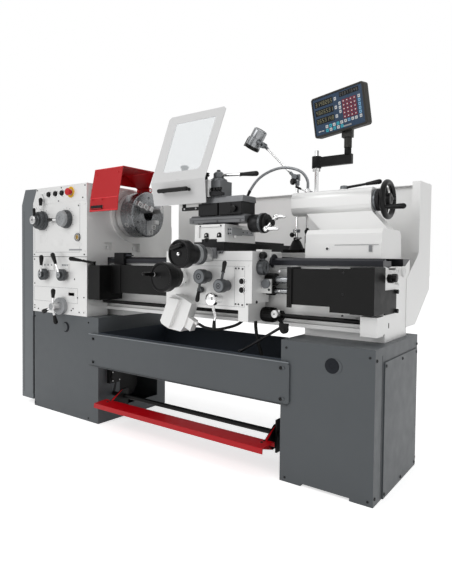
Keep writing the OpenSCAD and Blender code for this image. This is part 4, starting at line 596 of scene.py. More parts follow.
class LATHE_OT_stage(bpy.types.Operator):
    """Makes the pale floor, the soft lamps and the white surroundings"""

    bl_idname = "lathe.stage"
    bl_label = "Stage"

    def execute(self, context):
        low = CAD_BOX[0][2]
        mesh = bpy.data.meshes.new("floor")
        mesh.from_pydata([(-30, -30, low), (30, -30, low), (30, 30, low), (-30, 30, low)], [], [(0, 1, 2, 3)])
        floor = bpy.data.objects.new("floor", mesh)
        context.scene.collection.objects.link(floor)
        made = bpy.data.materials.new("floor")
        made.use_nodes = True
        tree = made.node_tree
        shader = tree.nodes["Principled BSDF"]
        shader.inputs["Roughness"].default_value = 0.9
        shader.inputs["Base Color"].default_value = (0.9, 0.9, 0.9, 1)
        shader.inputs["Specular IOR Level"].default_value = 0.1
        shader.inputs["Emission Color"].default_value = (1, 1, 1, 1)
        tree.links.new(self.seen(tree, 0.0, 0.62), shader.inputs["Emission Strength"])
        mesh.materials.append(made)
        world = context.scene.world or bpy.data.worlds.new("surroundings")
        context.scene.world = world
        world.use_nodes = True
        tree = world.node_tree
        back = tree.nodes["Background"]
        back.inputs["Color"].default_value = (1, 1, 1, 1)
        tree.links.new(self.seen(tree, 0.55, 0.45), back.inputs["Strength"])
        for name, where, look, size, power in (("key", (-1.2, -3.8, 3.0), (0, 0, 0.8), 2.2, 52),
                ("fill", (4.2, -1.8, 2.0), (0.2, 0, 0.7), 2.4, 10),
                ("top", (0.3, 0.2, 4.2), (0, 0, 0), 3.0, 30)):
            lamp = bpy.data.lights.new(name, "AREA")
            lamp.size, lamp.energy = size, power
            obj = bpy.data.objects.new(name, lamp)
            aim = Vector(look) - Vector(where)
            obj.matrix_world = Matrix.Translation(where) @ aim.to_track_quat("-Z", "Y").to_matrix().to_4x4()
            context.scene.collection.objects.link(obj)
        # Dark cards that only mirror-like faces see, so that plated rods keep their edges
        dark = bpy.data.materials.new("card")
        dark.use_nodes = True
        dark.node_tree.nodes["Principled BSDF"].inputs["Base Color"].default_value = (0.01, 0.01, 0.01, 1)
        for turn, lift, wide in ((-160, 0, 1.8), (-100, 0, 1.4), (-35, 0, 1.8), (30, 0, 2.4), (110, 0, 2.0),
                (0, 5.5, 3.0)):
            t = math.radians(turn)
            where = Vector((6 * math.cos(t), 6 * math.sin(t), 1.5)) if not lift else Vector((0, -1, lift))
            mesh = bpy.data.meshes.new("card")
            mesh.from_pydata([(-wide / 2, -4, 0), (wide / 2, -4, 0), (wide / 2, 4, 0), (-wide / 2, 4, 0)],
                [], [(0, 1, 2, 3)])
            mesh.materials.append(dark)
            card = bpy.data.objects.new("card", mesh)
            card.matrix_world = Matrix.Translation(where) @ (-where).to_track_quat("Z",
                "Y").to_matrix().to_4x4()
            card.visible_camera = card.visible_diffuse = False
            card.visible_shadow = card.visible_transmission = False
            context.scene.collection.objects.link(card)
        context.scene.view_settings.view_transform = "Standard"
        return {"FINISHED"}

    def seen(self, tree, base, rise):
        """A strength that rises for rays from the camera, reflections and clear panes."""
        ray = put(tree, "ShaderNodeLightPath")
        either = put(tree, "ShaderNodeMath", operation="MAXIMUM")
        tree.links.new(ray.outputs["Is Camera Ray"], either.inputs[0])
        tree.links.new(ray.outputs["Is Glossy Ray"], either.inputs[1])
        every = put(tree, "ShaderNodeMath", operation="MAXIMUM")
        tree.links.new(either.outputs[0], every.inputs[0])
        tree.links.new(ray.outputs["Is Transmission Ray"], every.inputs[1])
        out = put(tree, "ShaderNodeMath", operation="MULTIPLY_ADD")
        tree.links.new(every.outputs[0], out.inputs[0])
        out.inputs[1].default_value = rise
        out.inputs[2].default_value = base
        return out.outputs[0]


# ---- Solids that stay, with their finishes ----


class LATHE_OT_base(bpy.types.Operator):
    """Paints the cabinets, the front panel, the tray and the motor"""

    bl_idname = "lathe.base"
    bl_label = "Base"

    def execute(self, context):
        brake_switch = ("black_trim", (-430, -190, 190), (-390, -110, 270))
        dress("left_cabinet", "cabinet_grey", [brake_switch])
        dress("right_cabinet", "cabinet_grey")
        dress("front_panel", "cabinet_grey")
        dress("chip_tray", "tray_dark")
        dress("main_motor", "black_trim", [("motor_grey", (-FAR, -FAR, -FAR), (FAR, -40, FAR))])
        return {"FINISHED"}


class LATHE_OT_bed(bpy.types.Operator):
    """Paints the bed and grinds its ways"""

    bl_idname = "lathe.bed"
    bl_label = "Bed"

    def execute(self, context):
        lo, hi = box_of("bed")
        stop = box_of("chip_tray")[0].x
        way = 802
        dress("bed", "white_paint", [("way_steel", (-FAR, -FAR, way - 0.5), (FAR, FAR, FAR)),
            ("slide_dark", (stop - 22, lo.y - 1, way - 9), (stop + 49, -63, FAR)),
            ("black_grip", (hi.x - 16, -FAR, 740), (hi.x, -60, 780))])
        dress("leadscrew_cover", "black_trim", rounding=0.6)
        dress("end_bracket", "black_trim")
        for node, tint in (("leadscrew", "turned_steel"), ("feed_rod", "turned_steel"),
                ("control_rod", "black_trim")):
            dress(node, tint, rounding=0)
        dress("splash_guard", "white_paint", [("chrome", (355, 500.6, 700), (390, FAR, FAR))], rounding=0.7)
        return {"FINISHED"}


class LATHE_OT_headstock(bpy.types.Operator):
    """Paints the headstock, the gearbox, the end cover and the direction lever"""

    bl_idname = "lathe.headstock"
    bl_label = "Headstock"

    def execute(self, context):
        dress("headstock", "white_paint", rounding=1.6)
        dress("feed_gearbox", "white_paint", rounding=1.6)
        dress("end_cover", "cover_grey", rounding=1.4)
        dress("spindle", "ground_steel", rounding=0)
        dress("direction_lever", "black_grip", rounding=0.6)
        return {"FINISHED"}


class LATHE_OT_carriage(bpy.types.Operator):
    """Paints the saddle, the apron, the cross slide and the shield's pane"""

    bl_idname = "lathe.carriage"
    bl_label = "Carriage"

    def execute(self, context):
        dress("saddle", "white_paint", [("slide_dark", (180, -FAR, 856.5), (350, FAR, FAR))])
        dress("apron", "white_paint")
        dress("cross_slide", "white_paint")
        dress("shield_window", "clear_pane", rounding=0)
        return {"FINISHED"}


class LATHE_OT_tailstock(bpy.types.Operator):
    """Paints the tailstock and finishes its quill"""

    bl_idname = "lathe.tailstock"
    bl_label = "Tailstock"

    def execute(self, context):
        dress("tailstock", "white_paint", rounding=2.0)
        dress("quill", "turned_steel", rounding=0.5)
        return {"FINISHED"}


# ---- Headstock fittings ----


def rounded(w, h, r, steps=5):
    """Outline of a rectangle with rounded corners, about the origin."""
    out = []
    for cx, cy, a0 in ((1, 1, 0), (-1, 1, 90), (-1, -1, 180), (1, -1, 270)):
        for k in range(steps + 1):
            a = math.radians(a0 + 90 * k / steps)
            out.append((cx * (w / 2 - r) + r * math.cos(a), cy * (h / 2 - r) + r * math.sin(a)))
    return out


def seam_lines(shape, y, wide, lines, tint="seam_grey"):
    """Thin panel joints on a face that looks to the front, as (x0, z0, x1, z1) rows."""
    for x0, z0, x1, z1 in lines:
        w = wide / 2
        shape.block((min(x0, x1) - w, y - 0.35, min(z0, z1) - w),
            (max(x0, x1) + w, y + 0.6, max(z0, z1) + w), tint)


class LATHE_OT_front_trim(bpy.types.Operator):
    """Adds the joints, screws, label fields, marks and sight glass of the front"""

    bl_idname = "lathe.front_trim"
    bl_label = "Headstock trim"

    def execute(self, context):
        sizes = context.scene.lathe_sizes
        wide, r = sizes.seam / MM, sizes.screw / MM
        lo, hi = box_of("feed_gearbox")
        x0, x1, z0, z1 = lo.x, hi.x, lo.z, hi.z
        top = box_of("headstock")[1].z
        y = FRONT_FACE
        gear = PIVOTS["gear_lever_left"]
        shape = Shape()
        seam_lines(shape, y, wide, [(x0 + 16, z1 + 24, x1 - 56, z1 + 24),
            (x1 - 56, z1 + 24, x1 - 56, top - 100), (x0 + 16, z1 + 24, x0 + 16, top - 110)])
        seam_lines(shape, y, wide * 0.7, [(x0 + 12, gear.z - 68, x1 - 74, gear.z - 68),
            (x1 - 74, gear.z - 68, x1 - 74, z0 + 62), (x0 + 12, z0 + 62, x1 - 74, z0 + 62),
            (x0 + 12, z0 + 62, x0 + 12, gear.z - 68)])
        seam_lines(shape, y, wide * 1.5, [(x0, z1, x1, z1)], "seam_dark")
        for x, z in ((x0 + 14, z1 + 12), (x0 + 14, z1 - 14), (x1 - 20, z1 + 12), (x1 - 22, z1 - 16),
                (x0 + 16, gear.z - 52), (x0 + 16, z0 + 34), (x0 + 16, z0 + 20), (x0 + 50, z0 + 16),
                (x1 - 74, z0 + 92), (x1 - 22, z0 + 96), (x1 - 98, gear.z - 20), (x1 - 22, z0 + 20),
                (x1 - 60, z0 + 18), (x1 - 110, z0 + 34), (x1 - 124, z0 + 24), (x0 + 16, top - 118),
                (x1 - 66, top - 110)):
            shape.screw(x, z, y, r * 0.8)
        for x, z in ((x0 + 46, top - 10), (x0 + 260, top - 10), (x1 - 12, top - 12), (x0 + 236, top - 78),
                (x1 - 30, top - 72)):
            shape.screw(x, z, PANEL_FACE, r * 0.8)
        shape.piece("headstock_trim", "root")

        # Bare label fields, in place of printed ones
        shape = Shape()
        for cx, cz, w, h, tint in ((x1 - 102, z1 + 62, 128, 16, "label_white"),
                (x1 - 92, z1 + 36, 104, 8, "label_grey"), (x1 - 130, z0 + 96, 60, 40, "label_white"),
                (x1 - 120, gear.z - 96, 56, 22, "label_white"), (-887, 925, 60, 46, "label_white"),
                (-760, 905, 96, 34, "label_white")):
            shape.plate([(cx + a, cz + b) for a, b in rounded(w, h, 3)], "y", y - 0.7, y + 0.4, tint)
        shape.piece("label_fields", "root")

        # Graduation dots round the two dials, and index marks of the levers
        shape = Shape()
        for dial, r_mark, angles in (("speed_dial_left", 62, range(-150, 151, 30)),
                ("speed_dial_right", 58, range(-120, 121, 24))):
            c = PIVOTS[dial]
            for a in angles:
                t = math.radians(a)
                shape.turn((c.x + r_mark * math.sin(t), y, c.z + r_mark * math.cos(t)), "-y",
                    disc(1.8, 0.5, 0.4), "seam_dark", 12)
        for lever, span in (("gear_lever_left", (-50, 73)), ("gear_lever_right", (-17, 38))):
            c = PIVOTS[lever]
            for k in range(4):
                x = c.x + span[0] + (k + 0.5) * (span[1] - span[0]) / 4
                shape.block((x - 5, y - 8.7, c.z + 46), (x + 5, y - 8, c.z + 56), "label_grey")
        shape.piece("index_marks", "root")

        # Oil sight glass
        at = Vector((-587, y, 930))
        shape = Shape()
        shape.ring(at, "-y", [(0, 21), (5, 21), (7.2, 18.5), (7.2, 14.5), (5, 13), (0, 13)], "seam_dark")
        shape.turn(at + Vector((0, -2, 0)), "-y", [(0, 13.2), (1.2, 13), (2.6, 9), (3, 0)], "brass")
        shape.piece("sight_glass", "root")
        return {"FINISHED"}


class LATHE_OT_buttons(bpy.types.Operator):
    """Makes the indicator lamp, the push buttons and the emergency stop"""

    bl_idname = "lathe.buttons"
    bl_label = "Push buttons"

    def execute(self, context):
        rings = Shape()
        for node in ("start_button", "jog_button", "stop_button"):
            lo, hi = box_of(node)
            at = Vector(((lo.x + hi.x) / 2, PANEL_FACE, (lo.z + hi.z) / 2))
            rings.ring(at, "-y", [(0, 19), (3, 19), (4.8, 17.6), (4.8, 15.4), (3.6, 14.2), (0, 14.2)],
                "chrome")
            cap = Shape()
            cap.turn(at, "-y", [(-16, 8), (3.2, 8), (3.2, 13), (11, 13), (12.4, 12.2), (13, 10.8),
                (11.8, 9.6), (11.6, 0)], "black_grip")
            cap.stand_in(f"{node}_cap", node)
        lamp_x = PIVOTS["speed_dial_left"].x + 9
        at = Vector((lamp_x, PANEL_FACE, (lo.z + hi.z) / 2))
        rings.ring(at, "-y", [(0, 13), (3, 13), (4.6, 11.8), (4.6, 9.2), (0, 9.2)], "chrome")
        rings.turn(at, "-y", [(0, 9.1), (5.5, 9.0), (7.4, 7.4), (8, 4), (8, 0)], "lamp_lens")
        lo, hi = box_of("emergency_stop")
        at = Vector(((lo.x + hi.x) / 2, PANEL_FACE, (lo.z + hi.z) / 2))
        rings.ring(at, "-y", [(0, 29), (2.2, 29), (3.4, 27.8), (3.4, 16.5), (0, 16.5)], "collar_yellow")
        rings.piece("button_rings", "root")
        cap = Shape()
        cap.turn(at, "-y", [(-16, 7.5), (8, 7.5), (8, 14.2), (13, 13.5), (15, 17), (19, 19), (23, 19),
            (26.4, 16.6), (28, 11), (28, 0)], "button_red", 40)
        cap.stand_in("emergency_stop_cap", "emergency_stop")
        return {"FINISHED"}


class LATHE_OT_dials(bpy.types.Operator):
    """Turns the two speed dials with their hubs and handles"""

    bl_idname = "lathe.dials"
    bl_label = "Speed dials"

    def execute(self, context):
        y = KNOB_FACE
        c = PIVOTS["speed_dial_left"]
        at = (c.x, y, c.z)
        shape = Shape()
        shape.turns(at, "-y",
            ([(-18, 10), (0, 10), (0, 51), (2.5, 52), (14, 52), (17, 50), (17, 48.5), (20, 48.5)],
                "knob_grey", 64),
            ([(19.5, 47.6), (21, 48.6, 1), (37, 45.2, 1), (40.6, 43, 1), (40.8, 40), (40.8, 30)],
                "knob_grey", 64, 24, 1.2),
            ([(40, 31), (46, 30), (48, 27), (59, 26), (61.5, 24)], "knob_grey", 48),
            ([(60, 21), (61, 23), (66, 22.4), (67.7, 20), (67.7, 9), (66.4, 8), (66.4, 0)], "ground_steel",
                40))
        shape.turn((c.x, y - 66.2, c.z), "-y", disc(5, 1.4, 0), "seam_dark", 6)
        shape.bar((c.x, -258, c.z + 38), (c.x + 4, -258, c.z + 84), 6, 6, "chrome")
        shape.grip((c.x + 4, -258, c.z + 80), (c.x + 6, -258, c.z + 112), 7.5, 10.8)
        shape.grip((c.x + 4, -296, c.z + 16), (c.x + 6, -298, c.z + 56), 6, 8)
        shape.stand_in("speed_dial_left_knob", "speed_dial_left")
        c = PIVOTS["speed_dial_right"]
        at = (c.x, y, c.z)
        shape = Shape()
        shape.turns(at, "-y",
            ([(-18, 10), (0, 10), (0, 47), (2, 48), (9, 47.6), (10, 46), (12, 46)], "knob_grey", 64),
            ([(11.5, 45), (12.5, 46), (23, 43.6), (25.4, 41.6), (25.4, 26)], "knob_grey", 64),
            ([(24, 41), (28, 40.6), (38, 39.4), (41.5, 37), (42, 34.5), (42, 12), (39, 11), (39, 0)],
                "label_grey", 56))
        for u, w in around(8):
            shape.turn((c.x + 24 * u, y - 42, c.z + 24 * w), "-y", disc(1.6, 0.3), "seam_dark", 10)
        for u, w in around(12, 0.5):
            shape.turn((c.x + 46.6 * u, y - 18, c.z + 46.6 * w), (u, 0, w), disc(2.2, -1.9, 3.5),
                "seam_dark", 10)
        shape.bar((c.x - 38, -260, c.z), (c.x - 92, -260, c.z), 6, 6, "chrome")
        shape.grip((c.x - 90, -260, c.z), (c.x - 126, -260, c.z), 7, 9.8)
        shape.stand_in("speed_dial_right_knob", "speed_dial_right")
        return {"FINISHED"}


def lever_hub(shape, at, rows, tint="knob_grey", face="label_grey"):
    """Stepped hub that looks to the front, with a lighter turned face and a set screw."""
    shape.turn(at, "-y", rows, tint, 44)
    depth, r = rows[-1]
    shape.turn(at, "-y", [(depth - 1, r * 0.97), (depth + 0.4, r * 0.95), (depth + 0.4, r * 0.3),
        (depth - 0.4, r * 0.26), (depth - 0.4, 0)], face, 44)
    shape.turn(Vector(at) + Vector((0, -depth + 0.2, 0)), "-y", disc(r * 0.16, 0.5, 0), "seam_dark", 6)


class LATHE_OT_gear_levers(bpy.types.Operator):
    """Makes the two gear levers and the three-armed feed selector"""

    bl_idname = "lathe.gear_levers"
    bl_label = "Gear levers"

    def execute(self, context):
        y = KNOB_FACE
        for node, dx, dz in (("gear_lever_left", 4, 92), ("gear_lever_right", -58, 104)):
            c = PIVOTS[node]
            shape = Shape()
            lever_hub(shape, (c.x, y, c.z), [(-18, 10), (0, 10), (0, 18), (8.7, 18), (8.7, 30), (10, 31),
                (32, 31), (33.7, 29), (33.7, 16), (42.8, 15.6)])
            root, tip = Vector((c.x, -274, c.z)), Vector((c.x + dx, -274, c.z + dz))
            shape.bar(root, root.lerp(tip, 0.56), 7, 6, "chrome")
            shape.ring(root.lerp(tip, 0.52), tip - root, [(-3, 5), (-3, 8.4), (0, 8.4), (0, 5)], "chrome", 24)
            shape.grip(root.lerp(tip, 0.52), tip, 7.5, 12)
            shape.stand_in(f"{node}_arm", node)
        c = PIVOTS["feed_selector"]
        shape = Shape()
        shape.turn((c.x, y, c.z), "-y", [(-18, 10), (0, 10), (0, 43.5), (1.6, 45), (21, 45), (23.4, 43),
            (23.7, 40), (23.7, 20)], "label_grey", 64)
        lever_hub(shape, (c.x, y, c.z), [(22, 20), (24, 22), (62, 22), (66, 20), (69, 17)], "ground_steel")
        for dx, dz in ((5, 86), (-39, -15), (27, -85)):
            root = Vector((c.x, -298, c.z))
            arm = Vector((dx, 0, dz)).normalized() * 82
            shape.bar(root + arm * 0.18, root + arm * 0.6, 6, 6, "chrome")
            shape.grip(root + arm * 0.56, root + arm, 8, 12)
        for u, w in around(12):
            x, z = c.x + 38 * u, c.z + 38 * w
            shape.block((x - 1, -264.4, z - 1), (x + 1, -264, z + 1), "seam_dark")
        shape.stand_in("feed_selector_arms", "feed_selector")
        return {"FINISHED"}


# ---- Chuck, jaws and readout ----

JAW_ANGLES = (30, 150, 270)  # degrees round the spindle


class LATHE_OT_chuck(bpy.types.Operator):
    """Turns the three-jaw chuck and its stepped jaws"""

    bl_idname = "lathe.chuck"
    bl_label = "Chuck"

    def execute(self, context):
        lo, hi = box_of("chuck")
        cy, cz = PIVOTS["spindle"].y, PIVOTS["spindle"].z
        mid, r = lo.x + 37, (hi.y - lo.y) / 2
        shape = Shape()
        at = (0, cy, cz)
        shape.ring(at, "x", [(lo.x, 33), (lo.x, r - 5), (lo.x + 2, r - 3), (mid - 1, r - 3), (mid - 1, 33)],
            "ground_steel", 96)
        shape.ring(at, "x", [(mid, 33), (mid, r - 2), (mid + 2, r), (hi.x - 34, r), (hi.x - 33, r - 0.9),
            (hi.x - 31, r - 0.9), (hi.x - 30, r), (hi.x - 5, r), (hi.x - 1.5, r - 3.5), (hi.x, r - 7),
            (hi.x, 64), (hi.x - 1, 63), (hi.x - 1, 58), (hi.x, 57), (hi.x, 36), (hi.x - 2, 33)],
            "turned_steel", 96)
        # Black disc deep in the bore: painted shade inside the chuck
        shape.turn((hi.x - 50, cy, cz), "x", disc(33.5, 3, 0), "black_trim", 48)
        for angle in JAW_ANGLES:
            local = Shape(placed(at, math.radians(angle - 90), "X"))
            # Slots of the jaws, drawn as thin dark strips of painted shade on each side
            local.block((hi.x - 22, -14.4, 30), (hi.x + 0.3, -14.05, r - 1.6), "seam_dark")
            local.block((hi.x - 22, 14.05, 30), (hi.x + 0.3, 14.4, r - 1.6), "seam_dark")
            merge(shape, local)
            # Key socket between two jaws; its floor and square hole are a dark disc and block of painted
            # shade
            sock = Shape(placed(at, math.radians(angle - 30), "X"))
            sock.ring((mid + 34, 0, 0), "z", [(r - 2.5, 9.5), (r - 2.5, 13.5), (r, 12.6), (r + 0.1, 9.5)],
                "ground_steel", 32)
            sock.turn((mid + 34, 0, 0), "z", [(r - 3, 10), (r - 0.6, 10), (r - 0.6, 0)], "seam_dark", 24)
            sock.block((mid + 30, -4, r - 0.8), (mid + 38, 4, r - 0.3), "black_grip")
            merge(shape, sock)
        for k in range(3):
            a = math.radians(k * 120 + 90)
            shape.turn((hi.x, cy + 88 * math.cos(a), cz + 88 * math.sin(a)), "x",
                [(-1, 6.5), (0.3, 6.5), (0.3, 3.6), (-0.6, 3.4), (-0.6, 0)], "seam_dark", 20)
        shape.piece("chuck_body", "spindle", 0.4, ["chuck"])
        # Jaws
        for i, angle in enumerate(JAW_ANGLES, 1):
            node = f"jaw_{i}"
            a = math.radians(angle - 90)
            shape = Shape(placed(at, a, "X"))
            x, z = hi.x, self.inner(node, a, cy, cz)
            w = 14
            outline = [(x - 25.7, z), (x + 61, z), (x + 63, z + 2), (x + 63, z + 20), (x + 61, z + 22),
                (x + 40, z + 22), (x + 40, z + 44), (x + 38.5, z + 46), (x + 20, z + 46), (x + 20, z + 70),
                (x + 18.5, z + 72), (x + 0.4, z + 72), (x + 0.4, z + 75.6), (x - 25.7, z + 75.6)]
            shape.plate(outline, "y", -w + 0.2, w - 0.2, "ground_steel")
            for zz, depth in ((34, 40), (59, 20)):
                shape.turn((x + depth, 0, z + zz), "x", [(-0.6, 7.6), (0.25, 7.6), (0.25, 4.4), (-0.5, 4.2),
                    (-0.5, 0)], "seam_dark", 20)
            for k in range(5):
                for y0, y1 in ((-w - 0.15, -w + 0.3), (w - 0.3, w + 0.15)):
                    shape.block((x + 0.3 + k * 12, y0, z + 1), (x + 1.3 + k * 12, y1, z + 18), "seam_dark")
            shape.stand_in(f"{node}_steps", node, 0.9)
        return {"FINISHED"}

    def inner(self, node, a, cy, cz):
        """Distance of a jaw's inner face from the spindle's axis."""
        way = Vector((0, -math.sin(a), math.cos(a)))
        mesh = NODES[node].data
        return min((Vector((0, v.co.y, v.co.z)) / MM - Vector((0, cy, cz))).dot(way) for v in mesh.vertices)


def merge(shape, other):
    """Moves the faces of one shape into another, with their finishes."""
    index = [shape.slot(name) for name in other.slots]
    made = {v: shape.bm.verts.new(v.co) for v in other.bm.verts}
    for face in other.bm.faces:
        shape.bm.faces.new([made[v] for v in face.verts]).material_index = index[face.material_index]
    other.bm.free()


class LATHE_OT_readout(bpy.types.Operator):
    """Paints the readout's arm and makes its case, panel, digits and keys"""

    bl_idname = "lathe.readout"
    bl_label = "Readout"

    def execute(self, context):
        dress("readout_arm", "black_trim", rounding=1.5)
        pin = PIVOTS["readout_display"]
        mid = Vector((pin.x - 29, 482, 1558))
        lean = Matrix.Rotation(math.radians(-10), 4, "Z") @ Matrix.Rotation(math.radians(-4.5), 4, "Y")
        frame = Matrix.Translation(mid) @ (lean @ Matrix.Rotation(math.radians(7), 4, "X"))
        shape = Shape(frame)
        w, h, t = 300, 200, 48
        outer, inner = rounded(w, h, 13, 6), rounded(w - 18, h - 18, 6, 6)
        lip = rounded(w - 5, h - 5, 11, 6)
        n = len(outer)
        rows = [(outer, t / 2 - 3), (outer, -t / 2 + 4), (lip, -t / 2), (inner, -t / 2), (inner, -t / 2 + 4)]
        back = [(x * 0.985, z * 0.98) for x, z in outer]
        rows.insert(0, (back, t / 2))
        pts = [(x, y, z) for outline, y in rows for x, z in outline]
        ends = [list(range(n)), list(range((len(rows) - 1) * n, len(rows) * n))]
        shape.add(pts, strip(len(rows), n) + ends, "case_grey")
        face = -t / 2 + 3.4
        shape.plate(rounded(w - 20, h - 20, 5, 6), "y", face - 0.6, face + 0.4, "screen_blue")
        # Vents in the back, drawn as dark strips of painted shade
        for k in range(9):
            shape.block((-60 + k * 15, t / 2 - 0.4, 20), (-54 + k * 15, t / 2 + 0.2, 70), "seam_dark")
        # Support on the swivel pin
        bracket = Shape()
        bracket.turn((pin.x, 514, 1382.3), "z", [(0, 17), (1, 19), (58, 19), (61, 17), (62, 12)],
            "case_grey", 36)
        bracket.plate([(x + pin.x, y + 509) for x, y in rounded(52, 38, 6)], "z", 1432, 1489, "case_grey")
        merge(shape, bracket)
        shape.stand_in("readout_case", "readout_display", 0.6)

        glow("digits_lit", "8a8768", 0.08)
        glow("digits_top", "6e6c6a", 0.04)
        keys = Shape(frame)
        top = face - 0.6
        for row in range(3):
            z = 62 - row * 42
            keys.block((-131, top - 0.5, z - 15), (-24, top + 0.2, z + 15), "screen_black")
            for k in range(7):
                self.digit(keys, -124 + k * 14.6, z, 9, 19, top - 0.6,
                    (3, 1, 4, 8, 2, 6, 5)[(k + row * 2) % 7], "digits_lit")
        keys.block((16, top - 0.5, 62), (122, top + 0.2, 84), "screen_black")
        for k in range(8):
            self.digit(keys, 20 + k * 12.8, 73, 7, 13, top - 0.6, (2, 5, 0, 7, 1, 9, 4, 8)[k], "digits_top")
        for row in range(3):
            self.key(keys, -9, 62 - row * 42, 13, 16, top, "key_white")
            self.key(keys, 14, 34 - row * 20, 12, 15, top, "key_white")
        for col in range(4):
            for row in range(5):
                self.key(keys, 36 + col * 20, 38 - row * 18.5, 17.5, 16.5, top, "key_maroon", "mark_white")
        tints = ("key_white", "key_sky", "key_sky", "key_sky", "key_sky", "key_white")
        for row in range(6):
            self.key(keys, 121, 38 - row * 18.5, 13, 15, top, tints[row])
        for col in range(4):
            self.key(keys, 36 + col * 20, -56, 14, 14, top,
                ("key_white", "key_sky", "key_white", "key_white")[col])
        for col in range(5):
            for row in range(2):
                self.key(keys, -72 + col * 21.5, -57 - row * 18.5, 15, 15, top,
                    ("key_white", "key_cyan")[(col + row) % 2])
        for k, wide in enumerate((16, 12)):
            keys.block((-124 + k * 20, top - 0.5, -74), (-124 + k * 20 + wide, top + 0.2, -70), "label_white")
        keys.block((20, top - 0.5, -83), (66, top + 0.2, -76), "label_grey")
        keys.piece("readout_keys", "readout_display")
        return {"FINISHED"}

    def key(self, shape, x, z, w, h, top, tint, mark=None):
        shape.plate([(x + a, z + b) for a, b in rounded(w, h, 2, 2)], "y", top - 1.1, top + 0.2, tint)
        tint = mark or "seam_dark"
        shape.block((x - w * 0.16, top - 1.35, z - h * 0.14), (x + w * 0.16, top - 1.0, z + h * 0.14), tint)

    def digit(self, shape, x, z, w, h, y, value, tint):
        """Seven-segment figure."""
        t = w * 0.2
        segments = {"a": (0, h / 2 - t, w, h / 2), "g": (0, -t / 2, w, t / 2),
            "d": (0, -h / 2, w, -h / 2 + t), "f": (0, 0, t, h / 2), "b": (w - t, 0, w, h / 2),
            "e": (0, -h / 2, t, 0), "c": (w - t, -h / 2, w, 0)}
        lit = ("abcdef", "bc", "abged", "abgcd", "fgbc", "afgcd", "afgedc", "abc", "abcdefg", "abcdfg")[value]
        for name in lit:
            x0, z0, x1, z1 = segments[name]
            shape.block((x + x0, y - 0.25, z + z0), (x + x1, y + 0.2, z + z1), tint)


# ---- Carriage fittings ----


class LATHE_OT_handwheels(bpy.types.Operator):
    """Turns the carriage wheel and the cross wheel with their inset handles"""

    bl_idname = "lathe.handwheels"
    bl_label = "Handwheels"

    def execute(self, context):
        lo, hi = box_of("carriage_handwheel")
        c = PIVOTS["carriage_handwheel"]
        r, y = (hi.z - lo.z) / 2, KNOB_FACE
        shape = Shape()
        shape.turns((c.x, y, c.z), "-y",
            ([(-22, 7.5), (0, 7.5), (0, 34), (19, 34), (19, 45), (20, 46), (39, 46), (40, 45)], "chrome",
                64),
            ([(39.5, 44), (41, 45.5), (66, 48), (68, 50), (86, 50), (88, 56), (88, r - 3), (91, r - 0.5),
                (96, r), (126, r), (129.7, r - 3), (129.7, r - 8), (127, r - 10.5), (126, r - 12),
                (126.6, r - 20), (128.2, 10), (128.2, 0)], "wheel_black", 96))
        shape.turn((c.x, y - 128, c.z), "-y", [(0, 4.5), (1.4, 4.5), (1.4, 2.4), (0.4, 2.2), (0.4, 0)],
            "seam_dark", 20)
        for k in range(3):
            t = math.radians(90 + 120 * k)
            shape.turn((c.x + 44 * math.cos(t), y - 19, c.z + 44 * math.sin(t)),
                (math.cos(t), 0, math.sin(t)), disc(3, 2.3, 0), "seam_dark", 10)
        shape.turn((c.x - 40, -364, c.z + 10), "-y", [(0, 9), (6, 9), (8, 7.5), (11, 7)], "ground_steel", 24)
        shape.grip((c.x - 40, -373, c.z + 10), (c.x - 24, -440, c.z + 14), 9.5, 7.6)
        shape.stand_in("carriage_wheel", "carriage_handwheel")

        lo, hi = box_of("cross_handwheel")
        c = PIVOTS["cross_handwheel"]
        r, y = (hi.z - lo.z) / 2, -244.3
        shape = Shape()
        shape.turns((c.x, y, c.z), "-y",
            ([(-48, 7.5), (0, 7.5), (0, 29), (1, 30), (53, 30), (55, 34), (56, 34)], "ground_steel", 56),
            ([(55.7, 36), (57, 41, 1), (58, 42, 1), (74, 42, 1), (75, 41, 1), (77, 38.5), (98, 38.5),
                (100.4, 37)], "knob_grey", 56, 36, 0.9))
        shape.ring((c.x, y, c.z), "-y", [(80, 38.4), (80, 40.4), (96, 40.4), (97, 39.4), (97, 38.4)],
            "label_grey", 72)
        shape.turn((c.x, y, c.z), "-y", [(100, 34), (101, 38.5), (138, 39), (140, 43), (140, r - 3),
            (143, r - 0.5), (147, r), (180, r), (184, r - 2.5), (185.4, r - 6), (184, r - 8.6),
            (180, r - 9.6), (180.6, 12), (182, 12), (183.6, 11), (183.6, 0)], "wheel_black", 88)
        shape.turn((c.x, y - 183.2, c.z), "-y", [(0, 7.5), (3.6, 7.2), (5.6, 5.4), (6.4, 2.6), (6.4, 0)],
            "chrome", 28)
        a, b = Vector((c.x - 36, -431, c.z + 21)), Vector((c.x + 14, -436, c.z + 33))
        shape.grip(a, b, 9.6, 7.5)
        shape.turn(b, (0.3, -1, 0.1), [(-6, 6), (4, 6), (5, 5), (5, 0)], "ground_steel", 20)
        shape.stand_in("cross_wheel", "cross_handwheel")
        return {"FINISHED"}


def lever_arm(shape, root, tip, r0, r1, cover, rod):
    """Plated rod with a black hand grip, from a hub to the lever's end."""
    root, tip = Vector(root), Vector(tip)
    shape.bar(root, root.lerp(tip, cover + 0.04), r0, r0 * 0.9, rod)
    shape.turn(root.lerp(tip, cover - 0.02), tip - root, [(0, r0 * 1.05), (1, r0 * 1.4), (4, r0 * 1.4),
        (5, r0 * 1.2)], rod, 20)
    shape.grip(root.lerp(tip, cover), tip, r0 * 1.15, r1)


